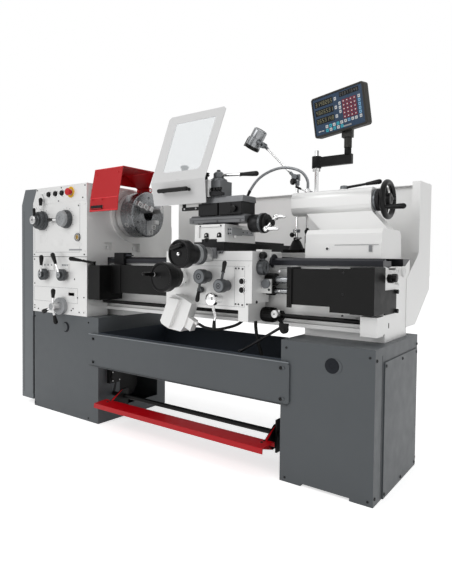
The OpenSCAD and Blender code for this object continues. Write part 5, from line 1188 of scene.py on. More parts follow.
class LATHE_OT_apron_levers(bpy.types.Operator):
    """Makes the feed, thread and rapid levers with their discs"""

    bl_idname = "lathe.apron_levers"
    bl_label = "Apron levers"

    def execute(self, context):
        root_y, grip_y = -284, -292
        for node, r, dx, dz in (("feed_lever", 30, -12, -95), ("thread_lever", 27, 25, 90)):
            c = PIVOTS[node]
            y = KNOB_FACE
            shape = Shape()
            shape.turns((c.x, y, c.z), "-y",
                ([(-20, 7.5), (0, 7.5), (0, r * 0.8), (25.7, r * 0.8), (26, r - 2), (28, r), (56, r),
                    (59, r - 1.6), (59.7, r - 3.6)], "knob_grey", 56),
                ([(59, r - 3.4), (59.9, r - 4.2), (59.9, r * 0.46), (59.3, r * 0.43), (59.3, r * 0.28),
                    (59.9, r * 0.26), (59.9, 0)], "turned_grey", 56))
            shape.turn((c.x, y - 59.6, c.z), "-y", disc(4.2, 0.8, 0), "seam_dark", 6)
            lever_arm(shape, (c.x, root_y, c.z), (c.x + dx, grip_y, c.z + dz), 5.6, 9, 0.6, "knob_grey")
            shape.stand_in(f"{node}_arm", node)
        c = PIVOTS["rapid_lever"]
        r, y = 23, KNOB_FACE
        shape = Shape()
        dome = [(60 + 9 * math.sin(a), (r + 3) * math.cos(a))
            for a in (0.0, 0.25, 0.5, 0.75, 1.0, 1.25, 1.45)]
        shape.turn((c.x, y, c.z), "-y", [(-20, 7.5), (0, 7.5), (0, r * 0.8), (30, r * 0.8), (33, r + 1),
            (38, r + 3), *dome, (69, 0)], "chrome", 64)
        path = [(0, 0), (3, -26), (7, -44), (14, -58), (16, -68), (12, -82)]
        line = smooth_line([(c.x + a, -285 - 0.06 * abs(b), c.z + b) for a, b in path], 4)
        shape.tube(line, 5.6, "chrome", 18)
        tip = line[-1]
        shape.grip(tip, (c.x + 11, -290, c.z - 111), 6.2, 7.8)
        shape.stand_in("rapid_lever_arm", "rapid_lever")
        return {"FINISHED"}


class LATHE_OT_half_nut(bpy.types.Operator):
    """Makes the half-nut lever with its knob"""

    bl_idname = "lathe.half_nut"
    bl_label = "Half-nut lever"

    def execute(self, context):
        c = PIVOTS["half_nut_lever"]
        end = box_of("half_nut_lever")[1].x
        shape = Shape()
        shape.turns((end - 30, c.y, c.z), "x",
            ([(-10, 8), (0.3, 8), (0.3, 29), (1.6, 30), (24, 30), (27, 28.6), (29, 26), (29.6, 22)],
                "knob_grey", 56),
            ([(29, 23), (30, 22), (30, 8), (29.2, 7.4), (29.2, 0)], "turned_grey", 48))
        shape.block((end - 0.5, c.y - 1.6, c.z - 16), (end + 0.2, c.y + 1.6, c.z + 16), "seam_dark")
        root = Vector((end - 15, c.y, c.z + 26))
        shape.bar(root, root + Vector((0, -3, 12)), 10, 8, "knob_grey")
        shape.turn(root + Vector((0, -2, 9)), (0, -0.1, 1),
            [(0, 8), (1.5, 12), (8, 13.5), (13, 12), (15, 8.5), (18, 7)], "black_grip", 36, 9, 1.4)
        shape.turn(root + Vector((0, -14, 22)), "y", [(0, 9), (2, 13), (7, 14.6), (19, 14.6), (24, 13),
            (26, 9)], "black_grip", 36, 9, 1.6)
        shape.stand_in("half_nut_arm", "half_nut_lever")
        return {"FINISHED"}


class LATHE_OT_apron_trim(bpy.types.Operator):
    """Adds the apron's joints, screws, push buttons, knob, sleeves and way wiper"""

    bl_idname = "lathe.apron_trim"
    bl_label = "Apron trim"

    def execute(self, context):
        wide = context.scene.lathe_sizes.seam / MM
        x0 = box_of("saddle")[0].x
        top, apron_low, y = 818.0, 623.0, FRONT_FACE
        x1 = box_of("half_nut_lever")[0].x + 10
        shape = Shape()
        seam_lines(shape, y, wide * 0.8, [(x0, top, x1, top)], "seam_grey")
        seam_lines(shape, y, wide * 0.6, [(x0 + 12, top - 22, x1 - 34, top - 22),
            (x1 - 34, top - 22, x1 - 34, apron_low + 14), (x0 + 12, apron_low + 14, x1 - 34, apron_low + 14),
            (x0 + 366, top - 22, x0 + 366, apron_low + 14)])
        for x, z in ((x0 + 372, top - 30), (x0 + 386, top - 30), (x0 + 372, apron_low + 24),
                (x0 + 386, apron_low + 24), (x1 - 44, top - 32), (x1 - 44, apron_low + 22),
                (x1 - 22, apron_low + 26), (x0 + 14, apron_low + 18), (x0 + 14, top - 14),
                (x0 + 262, apron_low + 18)):
            shape.screw(x, z, y, 3.6)
        for z in (704, 738):
            at = (x1 - 43, y, z)
            shape.ring(at, "-y", [(0, 17), (3, 17), (4.6, 15.8), (4.6, 13.6), (0, 13.6)], "chrome")
            shape.turn(at, "-y", [(0, 13.4), (5, 13.4), (7.6, 13), (9.3, 11), (9.6, 0)], "black_grip", 32)
        # Small fluted knob between the levers
        shape.turn((233, y, 697), "-y", [(0, 8), (2, 8), (3, 13, 1), (13, 14, 1), (17, 14, 1), (19, 12.4),
            (20, 11), (20, 0)], "knob_grey", 48, 12, 1.5)
        shape.turn((233, y - 19.6, 697), "-y", [(0, 9), (0.8, 8.6), (0.8, 0)], "turned_grey", 32)
        # Side face: screw, nut plate with its disc, and the screw's sleeve
        shape.turn((x1, -206, apron_low + 34), "x", socket(6, 1.6, 4.6, 3, 2.6, 1, 2.4), "seam_dark", 24)
        shape.block((x1 - 4, -166, apron_low + 68), (x1 + 40, -157, apron_low + 124), "white_paint")
        shape.turn((x1 + 20, -166, apron_low + 106), "-y", [(-1, 15), (0, 18), (10, 19), (12.6, 17.6),
            (13, 15), (13, 0)], "turned_grey", 44)
        shape.turn((x1 + 32, -166, apron_low + 82), "-y", disc(5, 1.2, 0), "seam_dark", 20)
        shape.ring((x1 + 2, -130, 745), "x", [(0, 15.6), (0, 24), (2, 25.5), (42, 25.5), (44, 24),
            (44, 15.6)], "black_trim", 40)
        shape.ring((x1 + 2, -130, 700), "x", [(0, 11.6), (0, 17), (1, 18), (34, 18), (36, 17), (36, 11.6)],
            "black_trim", 36)
        # Rounded way wiper
        shape.ring((x1, -84, 818), "x", [(0, 10), (0, 27), (2, 29), (6, 29), (8, 27), (8, 10)], "way_steel",
            40)
        shape.turn((x1, -84, 818), "x", disc(10.2, 7, 0), "seam_dark", 32)
        shape.piece("apron_fittings", "carriage")
        return {"FINISHED"}


class LATHE_OT_control_handle(bpy.types.Operator):
    """Makes the start lever with its ribbed collar and slanting rod"""

    bl_idname = "lathe.control_handle"
    bl_label = "Start lever"

    def execute(self, context):
        c = PIVOTS["control_lever"]
        x0, y, z = 462.3, c.y, c.z
        x1 = x0 + 58
        shape = Shape()
        shape.ring((0, y, z), "x", [(x0, 9.2), (x0, 25), (x0 + 2, 28), (x0 + 10, 28.4), (x0 + 12, 26.4),
            (x1 - 14, 26.4), (x1 - 12, 28.4), (x1 - 2, 28), (x1, 25), (x1, 9.2)], "black_trim", 64)
        for k in range(12):
            rib = Shape(placed((0, y, z), math.tau * k / 12, "X"))
            rib.block((x0 + 8, -3, 25), (x1 - 8, 3, 29.8), "black_trim")
            merge(shape, rib)
        shape.ring((0, y, z), "x", [(x1 - 1, 9.2), (x1 - 1, 20), (x1 + 32, 20), (x1 + 34, 18),
            (x1 + 34, 9.2)], "black_trim", 48)
        shape.turn((x1 + 16, y - 17, z + 8), "-y", [(0, 12), (2, 16), (19, 16), (21.5, 14.6), (22.4, 12),
            (22.4, 0)], "ground_steel", 44)
        shape.turn((x1 + 16, y - 39.2, z + 8), "-y", disc(3, 0.6, 0), "seam_dark", 16)
        a, b = Vector((x1 + 24, y - 16, z - 10)), Vector((x1 + 70, y - 58, z - 36))
        shape.tube(smooth_line([tuple(a), tuple(a.lerp(b, 0.5) + Vector((2, -3, 2))), tuple(b)], 4), 7,
            "black_trim", 18)
        boss = Vector((x1 + 74, y - 60, z - 44))
        shape.turn(boss + Vector((0, 7, 0)), "-y", [(0, 15), (1.5, 17), (12.5, 17), (14, 15), (14, 9),
            (16.5, 8), (16.5, 0)], "black_trim", 40)
        shape.block(boss + Vector((-20, -6, 4)), boss + Vector((16, 6, 22)), "black_trim")
        rod0, rod1 = Vector((x1 + 70, y - 60, z - 32)), Vector((x1 - 130, y - 60, z - 154))
        shape.bar(rod0, rod1, 5.6, 5.2, "slide_dark")
        shape.ball(rod1, 8.8, "black_grip", 28)
        shape.stand_in("start_lever", "control_lever")
        return {"FINISHED"}


# ---- Tool slide, guards and tailstock ----


class LATHE_OT_tool_slide(bpy.types.Operator):
    """Makes the compound slab, the top slide and the tool post with its lever"""

    bl_idname = "lathe.tool_slide"
    bl_label = "Tool slide"

    def execute(self, context):
        c = PIVOTS["compound_base"]
        y0, y1 = c.y - 50, c.y + 50
        slab_x0, slab_x1 = c.x - 131, c.x + 154
        z0, z1 = 973.4, 1004.9
        shape = Shape()
        shape.turn((c.x, c.y, 965.4), "z", [(-10, 30), (0, 30), (0, 73), (1.5, 75), (8, 75)], "way_steel", 72)
        shape.block((slab_x0, y0, z0), (slab_x1, y1, z1 - 8), "slab_grey")
        shape.plate([(y0 + 2, z1 - 8), (y1 - 2, z1 - 8), (y1 - 9, z1), (y0 + 9, z1)], "x", slab_x0 + 6,
            slab_x1, "slab_grey")
        shape.block((slab_x0 + 4, y0 - 0.5, z0 + 12), (slab_x1 - 4, y0 + 0.4, z0 + 13.4), "seam_dark")
        for k in range(27):
            x = c.x - 62 + k * 4.8
            shape.block((x - 0.4, c.y - 74.6, 966.4),
                (x + 0.4, c.y - 74.0 + abs(k - 13) * 0.9, 969 if k % 5 else 971), "seam_dark")
        for x in (slab_x0 + 22, slab_x0 + 150, slab_x1 - 20):
            shape.turn((x, y0, z0 + 6), "-y", [(-1, 4), (0.6, 4), (0.6, 2.2), (-0.6, 2), (-0.6, 0)],
                "seam_dark", 18)
        nut = [(0, 26), (1, 33), (6, 36), (40, 36), (46, 34), (47.8, 30)]
        shape.turn((slab_x1, c.y, 968.3), "x", nut, "slide_dark", 56)
        shape.stand_in("compound_slab", "compound_base", 0.8)

        low, step, high = 1005.4, 1055, 1079.6
        shape = Shape()
        split = c.x + 22
        shape.block((c.x - 82, y0, low), (split - 4, y1, step), "slide_dark")
        shape.block((split - 4, y0 + 16, low), (split + 4, y1, step), "slide_dark")
        shape.block((split + 4, y0, low), (c.x + 137, y1, step), "slide_dark")
        shape.plate([(y0, step), (y1, step), (y1 - 5, high), (y0 + 5, high)], "x", c.x - 67, c.x + 143,
            "slab_grey")
        shape.turn((c.x + 104, y0, low + 22), "-y", [(-1, 10), (2, 10), (3, 14, 1), (10, 14, 1), (12, 12.6),
            (12.6, 9), (12.6, 0)], "black_grip", 40, 8, 1.6)
        shape.block((c.x + 72, y0 - 3, low + 6), (c.x + 88, y0 + 1, step - 6), "slide_dark")
        shape.turn((c.x - 12, c.y - 3, high), "z", [(-2, 12), (40, 12), (58, 12)], "ground_steel", 32)
        # Arm and pin of the chip shield
        shape.block((c.x - 175, y0, 1030.6), (c.x - 82, y0 + 14, 1045), "slide_dark")
        shape.turn((c.x - 167, c.y - 43, 1035), "z", [(0, 8), (146, 8), (149, 6.5)], "slide_dark", 32)
        for x in (c.x - 160, c.x - 96):
            shape.screw(x, 1038, y0, 4, "ground_steel")
        shape.stand_in("top_slide_body", "top_slide", 1.0)

        p = PIVOTS["tool_post"]
        h, z0, z1 = 40, box_of("tool_post")[0].z, 1158
        shape = Shape()
        shape.block((p.x - h, p.y - h, z0), (p.x + h, p.y + h, z1 - 10), "post_grey")
        shape.turn((p.x, p.y, z1 - 10), "z", [(0, 37), (8, 36), (10, 34), (10.2, 27), (15.6, 26)],
            "post_grey", 64)
        # Piston and dovetail on the left, with the tool holder
        shape.turn((p.x - h + 14, p.y - h + 6, z0 + 2), "z", [(0, 18), (66, 18), (70, 17), (72, 15)],
            "ground_steel", 48)
        shape.block((p.x - h - 33.6, p.y - h + 6, z0 + 41), (p.x - h, p.y + h - 6, z1 - 12), "slide_dark")
        shape.block((p.x - h - 33.6, p.y - h + 6, z0 + 6), (p.x - h, p.y + h - 6, z0 + 17.6), "slide_dark")
        shape.block((p.x - h - 17.6, p.y - h + 6, z0 + 17), (p.x - h, p.y + h - 6, z0 + 42), "slide_dark")
        shape.block((p.x - h - 33, p.y - h + 2, z0 + 18.2), (p.x - h - 18.6, p.y + h - 2, z0 + 32),
            "ground_steel")
        for k in range(3):
            y = p.y - 18 + k * 18
            self.square_screw(shape, (p.x - h - 20, y, z1 - 12))
        # Second holder on the front, its screws stand above it
        shape.plate([(p.x - 4, z0 + 4), (p.x + h + 22, z0 + 4), (p.x + h + 22, z0 + 16), (p.x + 20, z0 + 22),
            (p.x - 4, z0 + 22)], "y", p.y - h - 17, p.y - h, "slide_dark")
        for k in range(4):
            self.square_screw(shape, (p.x + 2 + k * 15, p.y - h - 8.5, z0 + 20), 5.2, 18)
        shape.turn((p.x - h - 11, p.y - 22, z1 - 12), "z", [(0, 8), (26, 8), (27, 14, 1), (33, 16, 1),
            (35, 12), (36, 11), (37, 15, 1), (40, 16, 1), (42, 13), (42, 0)], "black_grip", 48, 10, 1.4)
        shape.turn((p.x, p.y, 1163), "z", [(0, 7), (34, 7), (34.6, 6)], "ground_steel", 28)
        shape.stand_in("tool_post_body", "tool_post", 0.8)

        p = PIVOTS["tool_post_lever"]
        shape = Shape()
        z = 1164.6
        shape.turn((p.x, p.y, z), "z", [(0, 20), (2, 22), (18, 22), (23, 17), (26, 13), (26, 0)],
            "post_grey", 48)
        shape.turn((p.x, p.y, z + 25.6), "z", [(0, 9), (6, 9), (8, 7.4), (8, 0)], "black_grip", 6)
        lever_arm(shape, (p.x + 14, p.y, z + 11), (p.x + 188, p.y, z + 2), 6.4, 10.4, 0.56, "chrome")
        shape.stand_in("tool_post_handle", "tool_post_lever")
        return {"FINISHED"}

    def square_screw(self, shape, at, half=4.6, tall=16):
        x, y, z = at
        shape.turn((x, y, z - 2), "z", [(0, half * 0.72), (tall * 0.6, half * 0.72)], "black_grip", 16)
        shape.plate([(x - half, y - half), (x + half, y - half), (x + half, y + half), (x - half, y + half)],
            "z", z + tall * 0.4, z + tall, "black_grip")


class LATHE_OT_crank(bpy.types.Operator):
    """Turns the compound's dial and two-armed crank"""

    bl_idname = "lathe.crank"
    bl_label = "Compound crank"

    def execute(self, context):
        c = PIVOTS["compound_crank"]
        x0, y, z = 469.3, c.y, c.z
        shape = Shape()
        shape.turns((x0, y, z), "x",
            ([(-20, 8), (0, 8), (0, 38), (1.5, 40), (12, 40), (13, 38)], "knob_grey", 72),
            ([(12.5, 36), (13, 39.4, 1), (18, 40, 1), (19, 38, 1), (19, 34)], "black_trim", 72, 30, 0.9))
        for k, (u, w) in enumerate(around(40)):
            dot = disc(0.5 if k % 5 else 0.8, 0.12, 0.6)
            shape.turn((x0 + 7, y + 40 * u, z + 40 * w), (0, u, w), dot, "label_white", 6)
        shape.turn((x0, y, z), "x", [(18, 30), (19.4, 34), (30, 34), (32, 32), (32, 14), (34, 13), (54, 13),
            (55, 11), (55, 0)], "black_trim", 64)
        for s, far in ((-1, 58), (1, 44)):
            ball = Vector((x0 + 44, y + s * 38, z + s * 26))
            shape.bar((x0 + 44, y, z), ball, 8, 7, "chrome")
            shape.ball(ball, 12.4, "chrome", 28)
            shape.turn(ball, "x", [(10, 5), (14, 5), (15, 7.6), (18, 7.7), (far * 0.6, 6.8), (far - 4, 6.8),
                (far - 1, 5), (far, 2.6), (far, 0)], "chrome", 28)
        shape.stand_in("compound_crank_arms", "compound_crank")
        return {"FINISHED"}


class LATHE_OT_cross_slide_trim(bpy.types.Operator):
    """Adds the bolts and the scale reader of the cross slide, and the flange of its screw"""

    bl_idname = "lathe.cross_slide_trim"
    bl_label = "Cross slide trim"

    def execute(self, context):
        y = FRONT_FACE
        shape = Shape()
        for x in (247, 313):
            shape.turn((x, y + 8, 922), "-y", [(-1, 10), (1, 10), (2, 8.4), (6.4, 8.4), (7.6, 7), (7.6, 4),
                (4, 3.6), (4, 0)], "black_grip", 28)
            for dx in (-6, 6):
                shape.turn((x + dx, y + 8, 914), "-y", disc(5, 5), "black_grip", 20)
        for x in (219, 326):
            shape.screw(x, 959, y, 3.4)
        shape.block((345.2, -221, 921), (367, -148, 951), "label_grey")
        for x, z in ((351, 928), (361, 944), (351, 944), (361, 928)):
            shape.screw(x, z, -221, 3)
        shape.block((345.2, -145, 925), (352, -40, 948), "label_grey")
        for yy in (-120, -90, -60):
            shape.turn((352, yy, 936), "x", disc(3, 1, 0.5), "seam_dark", 12)
        shape.piece("scale_reader", "cross_slide", 0.5)
        # Gland and flange of the cross screw on the saddle
        shape = Shape()
        shape.block((243, -252, 826), (312, -243.6, 870), "slab_grey")
        shape.plate([(196, 857), (345, 857), (338, 846), (206, 846)], "y", -249, -243.4, "slab_grey")
        for x in (214, 330):
            shape.screw(x, 851, -249, 3.2)
        shape.turn((254, -238, 893), "z", [(0, 12), (14, 12), (16, 10), (17, 7), (17, 0)], "black_grip", 28)
        shape.piece("cross_screw_flange", "carriage", 0.6)
        return {"FINISHED"}


class LATHE_OT_shield(bpy.types.Operator):
    """Folds the chip shield from thin sheet, with its handle and clamp knob"""

    bl_idname = "lathe.shield"
    bl_label = "Chip shield"

    def execute(self, context):
        x0, fold_y, fold_z, high = -55.0, -250.0, 1155.0, 337.0
        tilt = math.asin(118 / high)
        fold = (0, fold_y, fold_z)
        x1 = x0 + 325
        outer = [(x0, 0.4), (x1 - 20, 0.4), (x1, high - 12), (x1 - 12, high), (x0 + 14, high),
            (x0 + 2, high - 12)]
        window = [(x0 + 57, high - 42), (x0 + 55, 58), (x0 + 67, 46), (x1 - 74, 46), (x1 - 61, 58),
            (x1 - 44, high - 42)]
        shape = Shape(placed(fold, -tilt, "X"))
        self.framed(shape, outer, window, -2.5, 0, "shield_grey")
        for x, z in ((x0 + 40, 40), (x1 - 48, 40), (x0 + 30, high - 24), (x1 - 26, high - 26)):
            shape.turn((x, 0, z), "y", head(3.6, 1.2, 2.6, 1.8), "seam_dark", 16)
        part = Shape(placed(fold, math.radians(10), "X"))
        part.plate([(x0 + 6, -100), (x1 - 28, -100), (x1 - 26, -98), (x1 - 20, -0.4), (x0, -0.4),
            (x0 + 4, -98)], "y", -2.5, 0, "shield_grey")
        merge(shape, part)
        bend = Shape()
        bend.turn((x0 + 1, fold_y - 0.9, fold_z), "x", [(0, 1.5), (x1 - x0 - 21, 1.5)], "shield_grey", 14)
        y, z = fold_y - 22, fold_z - 40
        for x in (x0 + 72, x0 + 218):
            bend.turn((x, fold_y - 2, z), "-y", [(-6, 7), (4, 7), (6, 5.6), (20, 5.6)], "black_grip", 20)
        bend.turn((x0 + 62, y, z), "x", [(0, 6), (1.5, 8.5), (6, 9.5), (20, 9), (83, 9.6), (146, 9),
            (160, 9.5), (164.5, 8.5), (166, 6)], "black_grip", 28)
        px, py = 100.0, -205.0
        bend.ring((px, py, fold_z - 4), "z", [(0, 8.2), (0, 15), (47, 15), (48, 14), (48, 8.2)],
            "shield_grey", 36)
        bend.block((px - 12, fold_y - 1, fold_z - 4), (px + 12, py - 12, fold_z + 8), "shield_grey")
        bend.turn((px, py, fold_z + 44), "z", [(0, 6), (5, 6), (6, 13, 1), (11, 15, 1), (13, 11), (14, 10),
            (15, 17, 1), (22, 18.5, 1), (26, 15), (28, 8), (28, 0)], "black_grip", 48, 10, 1.5)
        merge(shape, bend)
        shape.stand_in("shield_sheet", "chip_shield", 0.3)
        return {"FINISHED"}

    def framed(self, shape, outer, window, y0, y1, tint):
        """Sheet with an opening; both outlines have six corners."""
        n = len(outer)
        pts = [(x, y, z) for y in (y0, y1) for x, z in (*outer, *window)]
        out, win = list(range(n)), list(range(n, 2 * n))
        # Faces between the outlines, round the opening: corners 0 to 5 are the sheet's, 6 to 11 the window's
        joined = [(7, 8, 0), (8, 9, 1, 0), (9, 10, 1), (10, 11, 2, 1), (11, 3, 2), (11, 6, 4, 3), (6, 5, 4),
            (6, 7, 0, 5)]
        m = 2 * n
        faces = joined + [tuple(i + m for i in reversed(f)) for f in joined]
        for ring in (out, win):
            k = len(ring)
            faces += [(ring[i], ring[(i + 1) % k], ring[(i + 1) % k] + m, ring[i] + m) for i in range(k)]
        shape.add(pts, faces, tint)


class LATHE_OT_guard(bpy.types.Operator):
    """Paints the chuck guard and adds its bends and hem in a lighter red as painted highlights, and its
    rolled edge, grip and screws
    """

    bl_idname = "lathe.guard"
    bl_label = "Chuck guard"

    def execute(self, context):
        dress("chuck_guard", "guard_red", rounding=0.4)
        x0, x1 = box_of("chuck_guard")[0].x, -289.0
        line = [(-240, 1053), (-235, 1120), (-206, 1266), (0, 1267), (86, 1202)]
        shape = Shape()
        # Bends drawn as lighter red rods: painted highlights along the folds
        for y, z in line[1:4]:
            shape.turn((x0 + 1, y + 1.2, z - 1.6), "x", [(0, 2.4), (x1 - x0 - 2, 2.4)], "bend_red", 12)
        # Rolled edge at the open end, and the hem at the foot, whose lighter red is a painted highlight
        for a, b in zip(line, line[1:]):
            shape.tube([(x1 - 1.2, a[0] + 1.2, a[1]), (x1 - 1.2, b[0] + 1.2, b[1])], 1.9, "guard_red", 10)
        shape.block((x0 + 3, -242.4, 1054.6), (x1 - 3, -239.4, 1060), "bend_red")
        shape.block((x0 + 12, -245.6, 1064.6), (x0 + 96, -238.8, 1068.6), "black_grip")
        shape.block((x0 + 12, -243.4, 1068.4), (x0 + 96, -239.2, 1082), "black_grip")
        for x, z in ((x0 + 18, 1112), (x0 + 90, 1112), (x0 + 20, 1240), (x1 - 26, 1240)):
            shape.turn((x, -240.6 if z < 1200 else -212.4, z), (0, -1, 0.1), head(3.6, 1, 2.4, 1.8),
                "button_red", 16)
        shape.piece("guard_hems", "chuck_guard")
        return {"FINISHED"}


# ---- Base, lamp, coolant, tailstock and right end ----


class LATHE_OT_base_trim(bpy.types.Operator):
    """Adds the screws, plugs and joints of the cabinets and the fittings of the brake"""

    bl_idname = "lathe.base_trim"
    bl_label = "Cabinet trim"

    def execute(self, context):
        wide = context.scene.lathe_sizes.seam / MM
        lo, hi = box_of("front_panel")
        shape = Shape()
        for x in (lo.x + 34, hi.x - 34):
            for z in (lo.z + 22, hi.z - 26):
                shape.screw(x, z, lo.y, 6.4, "black_grip")
        # Lighter strip along the panel's top edge: a painted highlight
        shape.block((lo.x + 1, lo.y - 0.4, hi.z - 5), (hi.x - 1, lo.y + 1, hi.z - 1.4), "edge_grey")
        seam_lines(shape, lo.y, wide, [(lo.x + 4, lo.z + 5, hi.x - 4, lo.z + 5)], "seam_dark")
        shape.piece("front_panel_screws", "root")

        shape = Shape()
        left = box_of("left_cabinet")[0]
        right, right_hi = box_of("right_cabinet")
        for x, z in ((-684, 462), (right.x + (right_hi.x - right.x) * 0.56, 456)):
            shape.turn((x, FRONT_FACE, z), "-y", [(-2, 25), (0.6, 27), (2.4, 26.6), (3.4, 24), (3.4, 9),
                (2.6, 8), (2.6, 0)], "plug_navy", 48)
        for x in (left.x + 26, -500, right.x + 22, right_hi.x - 26):
            for z in (16, 500):
                shape.screw(x, z, FRONT_FACE, 4.4)
        # Cover of the right side, with its screws
        x = 973.0
        for y in (-144, 34, 212):
            for z in (14, 461):
                shape.turn((x, y, z), "x", [(-1, 6), (1, 6), (2.4, 4.8), (3, 2.6), (1.4, 2.4), (1.4, 0)],
                    "seam_dark", 20)
        for y, z in ((-226, 26), (-226, 490), (232, 490), (232, 26)):
            shape.turn((968, y, z), "x", head(6, 1.4, 4.6, 3.4), "seam_dark", 6)
        shape.block((967.4, -172, 8), (968.5, -170.4, 500), "seam_dark")
        shape.piece("cabinet_fittings", "root")

        # Bearing plates of the brake shaft, and the switch's cord
        shape = Shape()
        for x in (-487, 548):
            shape.block((x, -168, 66), (x + 8, -112, 196), "black_trim")
            shape.turn((x + (8 if x > 0 else 0), -140, 135), (1 if x > 0 else -1, 0, 0),
                [(-3, 15), (1, 15), (1, 13), (0.4, 12), (0.4, 0)], "seam_dark", 32)
        shape.block((-428, -178, 202), (-424.6, -122, 258), "slide_dark")
        for y, z in ((-172, 208), (-128, 208), (-172, 252), (-128, 252)):
            shape.turn((-395.2, y, z), "x", head(3.4, 1, 2, 1.8), "ground_steel", 14)
        line = smooth_line([(-410, -150, 264), (-411, -147, 282), (-418, -128, 306), (-432, -90, 322),
            (-450, -40, 330), (-466, 6, 332)], 6)
        shape.tube(line, 4.6, "black_rubber", 14)
        shape.ring(line[0], "z", [(-1, 4.7), (-1, 8), (9, 8), (11, 6.4), (11, 4.7)], "black_trim", 6)
        shape.piece("brake_fittings", "root", 0.6)
        return {"FINISHED"}


class LATHE_OT_pedal(bpy.types.Operator):
    """Paints the brake treadle's tread red and its shaft black, and adds its bolts"""

    bl_idname = "lathe.pedal"
    bl_label = "Brake treadle"

    def execute(self, context):
        arms = [("black_trim", (x - 6, -FAR, -FAR), (x + 6, FAR, FAR)) for x in (-348, 535)]
        dress("brake_pedal", "black_trim", [("pedal_red", (-FAR, -FAR, -FAR), (FAR, -200, FAR)), *arms],
            rounding=0.8)
        shape = Shape()
        for x in (-348, 535):
            for y in (-226, -246):
                shape.turn((x, y, self.top(y)), "z", [(-1, 5.4), (1, 5.4), (2.6, 4.4), (3, 2.4), (1.6, 2.2),
                    (1.6, 0)], "seam_dark", 18)
        shape.piece("treadle_bolts", "brake_pedal")
        return {"FINISHED"}

    def top(self, y):
        """Height of the tread's upper face under a bolt."""
        mesh = NODES["brake_pedal"].data
        near = [f for f in mesh.polygons if f.normal.z > 0.8 and f.center.y / MM < -200]
        if not near:
            raise RuntimeError("the treadle has no upper face")
        face = max(near, key=lambda f: f.area)
        up = face.normal
        at = face.center / MM
        return at.z - (y - at.y) * up.y / up.z


class LATHE_OT_lamp(bpy.types.Operator):
    """Makes the machine lamp with its silver head and plated arm, and its post"""

    bl_idname = "lathe.lamp"
    bl_label = "Machine lamp"

    def execute(self, context):
        knuckle, elbow = PIVOTS["lamp_head"], PIVOTS["lamp_arm"]
        centre = knuckle + Vector((-54, 0, 31))
        tilt = math.radians(214)
        along = Vector((math.sin(tilt), 0, math.cos(tilt)))
        shape = Shape()
        shape.turn(centre, along, [(-58, 20), (-57, 26), (-55, 30), (-52, 32.6), (-50, 33), (-16, 33.6),
            (-15, 32.4), (-13, 32.4), (-12, 34), (2, 34.4), (3, 35.6), (26, 35.8), (27, 34), (27, 0)],
            "lamp_silver", 72)
        shape.ring(centre, along, [(25, 31), (25, 36.4), (27, 37), (40, 37), (42, 35.6), (42, 31), (36, 30)],
            "black_grip", 72)
        shape.turn(centre, along, [(26, 30.4), (35, 30.4), (37.4, 24), (38.6, 12), (38.8, 0)], "lamp_glass",
            56)
        for k in range(3):
            t = math.radians(30 + 120 * k)
            side = along.cross(Vector((0, 1, 0))).normalized() * math.cos(t) + Vector((0, 1, 0)) * math.sin(t)
            shape.turn(centre + along * 33 + side * 36.4, side, disc(2.6, 1.4), "seam_dark", 14)
        flap = Shape(placed(centre, tilt, "Y"))
        flap.block((37, -12, 4), (41, 12, 47), "black_grip")
        flap.block((31, -9, -6), (40, 9, 8), "black_grip")
        merge(shape, flap)
        shape.ring(knuckle, "y", [(-32, 6.3), (-32, 12.6), (-30.6, 14), (-12.8, 14), (-11.4, 12.8),
            (-11.4, 6.3)], "turned_grey", 44)
        neck = knuckle + Vector((0, -22, 0))
        shape.bar(neck.lerp(centre + Vector((0, -14, 8)), 0.16), centre + Vector((0, -14, 8)), 8.6, 9.4,
            "turned_grey", 28)
        shape.stand_in("lamp_shade", "lamp_head", 0.5)

        shape = Shape()
        shape.ring(elbow, "y", [(-11, 6.2), (-11, 11.8), (-9.8, 13), (2.4, 13), (3.6, 11.8), (3.6, 6.2)],
            "turned_grey", 44)
        a, b = elbow + Vector((0, -4, 0)), knuckle + Vector((0, -4, 0))
        shape.bar(a.lerp(b, 0.05), b.lerp(a, 0.04), 5.6, 5.6, "chrome", 28)
        shape.bar(a.lerp(b, 0.045), a.lerp(b, 0.14), 7.4, 7.0, "turned_grey", 28)
        shape.bar(b.lerp(a, 0.045), b.lerp(a, 0.12), 7.4, 7.0, "turned_grey", 28)
        shape.turns(knuckle, "y",
            ([(-11, 11), (-10, 12), (2, 12), (3, 11), (3, 0)], "turned_grey", 40),
            ([(-34, 0), (-34, 4.4), (-32.4, 5.8), (-12, 6)], "seam_dark", 32))
        shape.stand_in("lamp_swing_arm", "lamp_arm")

        dress("lamp_post", "chrome", [("black_trim", (-FAR, -FAR, 0), (FAR, FAR, 914)),
            ("turned_grey", (-FAR, -FAR, elbow.z - 20), (FAR, FAR, FAR)),
            ("turned_grey", (434, 150, 940), (466, 182, 970))], rounding=0.5)
        shape = Shape()
        for x, y in ((413, 177), (479, 177), (413, 199), (479, 199)):
            shape.turn((x, y, 870), "z", socket(5, 4, 4, 5, 2.4, 3, 2.2), "ground_steel", 20)
        shape.ring((450, 165, 912), "z", [(0, 7.2), (0, 12.6), (1.4, 14), (12, 14), (14, 12), (14, 7.2)],
            "black_trim", 36)
        shape.ring((450, 165, 1160), "z", [(0, 7.2), (0, 9), (1, 10), (20, 10), (21, 9), (21, 7.2)],
            "turned_grey", 36)
        for z, r in ((937, 11), (1176, 15)):
            shape.bar((446, 163, z), (440, 152, z), 4, 4, "chrome")
            shape.turn((441, 154, z), (-0.5, -0.86, 0), [(0, 8), (2, r - 2), (4, r, 1), (13, r, 1),
                (16, r - 3), (16, 0)], "black_grip", 48, 8, 1.4)
        shape.piece("lamp_post_rings", "carriage")
        return {"FINISHED"}


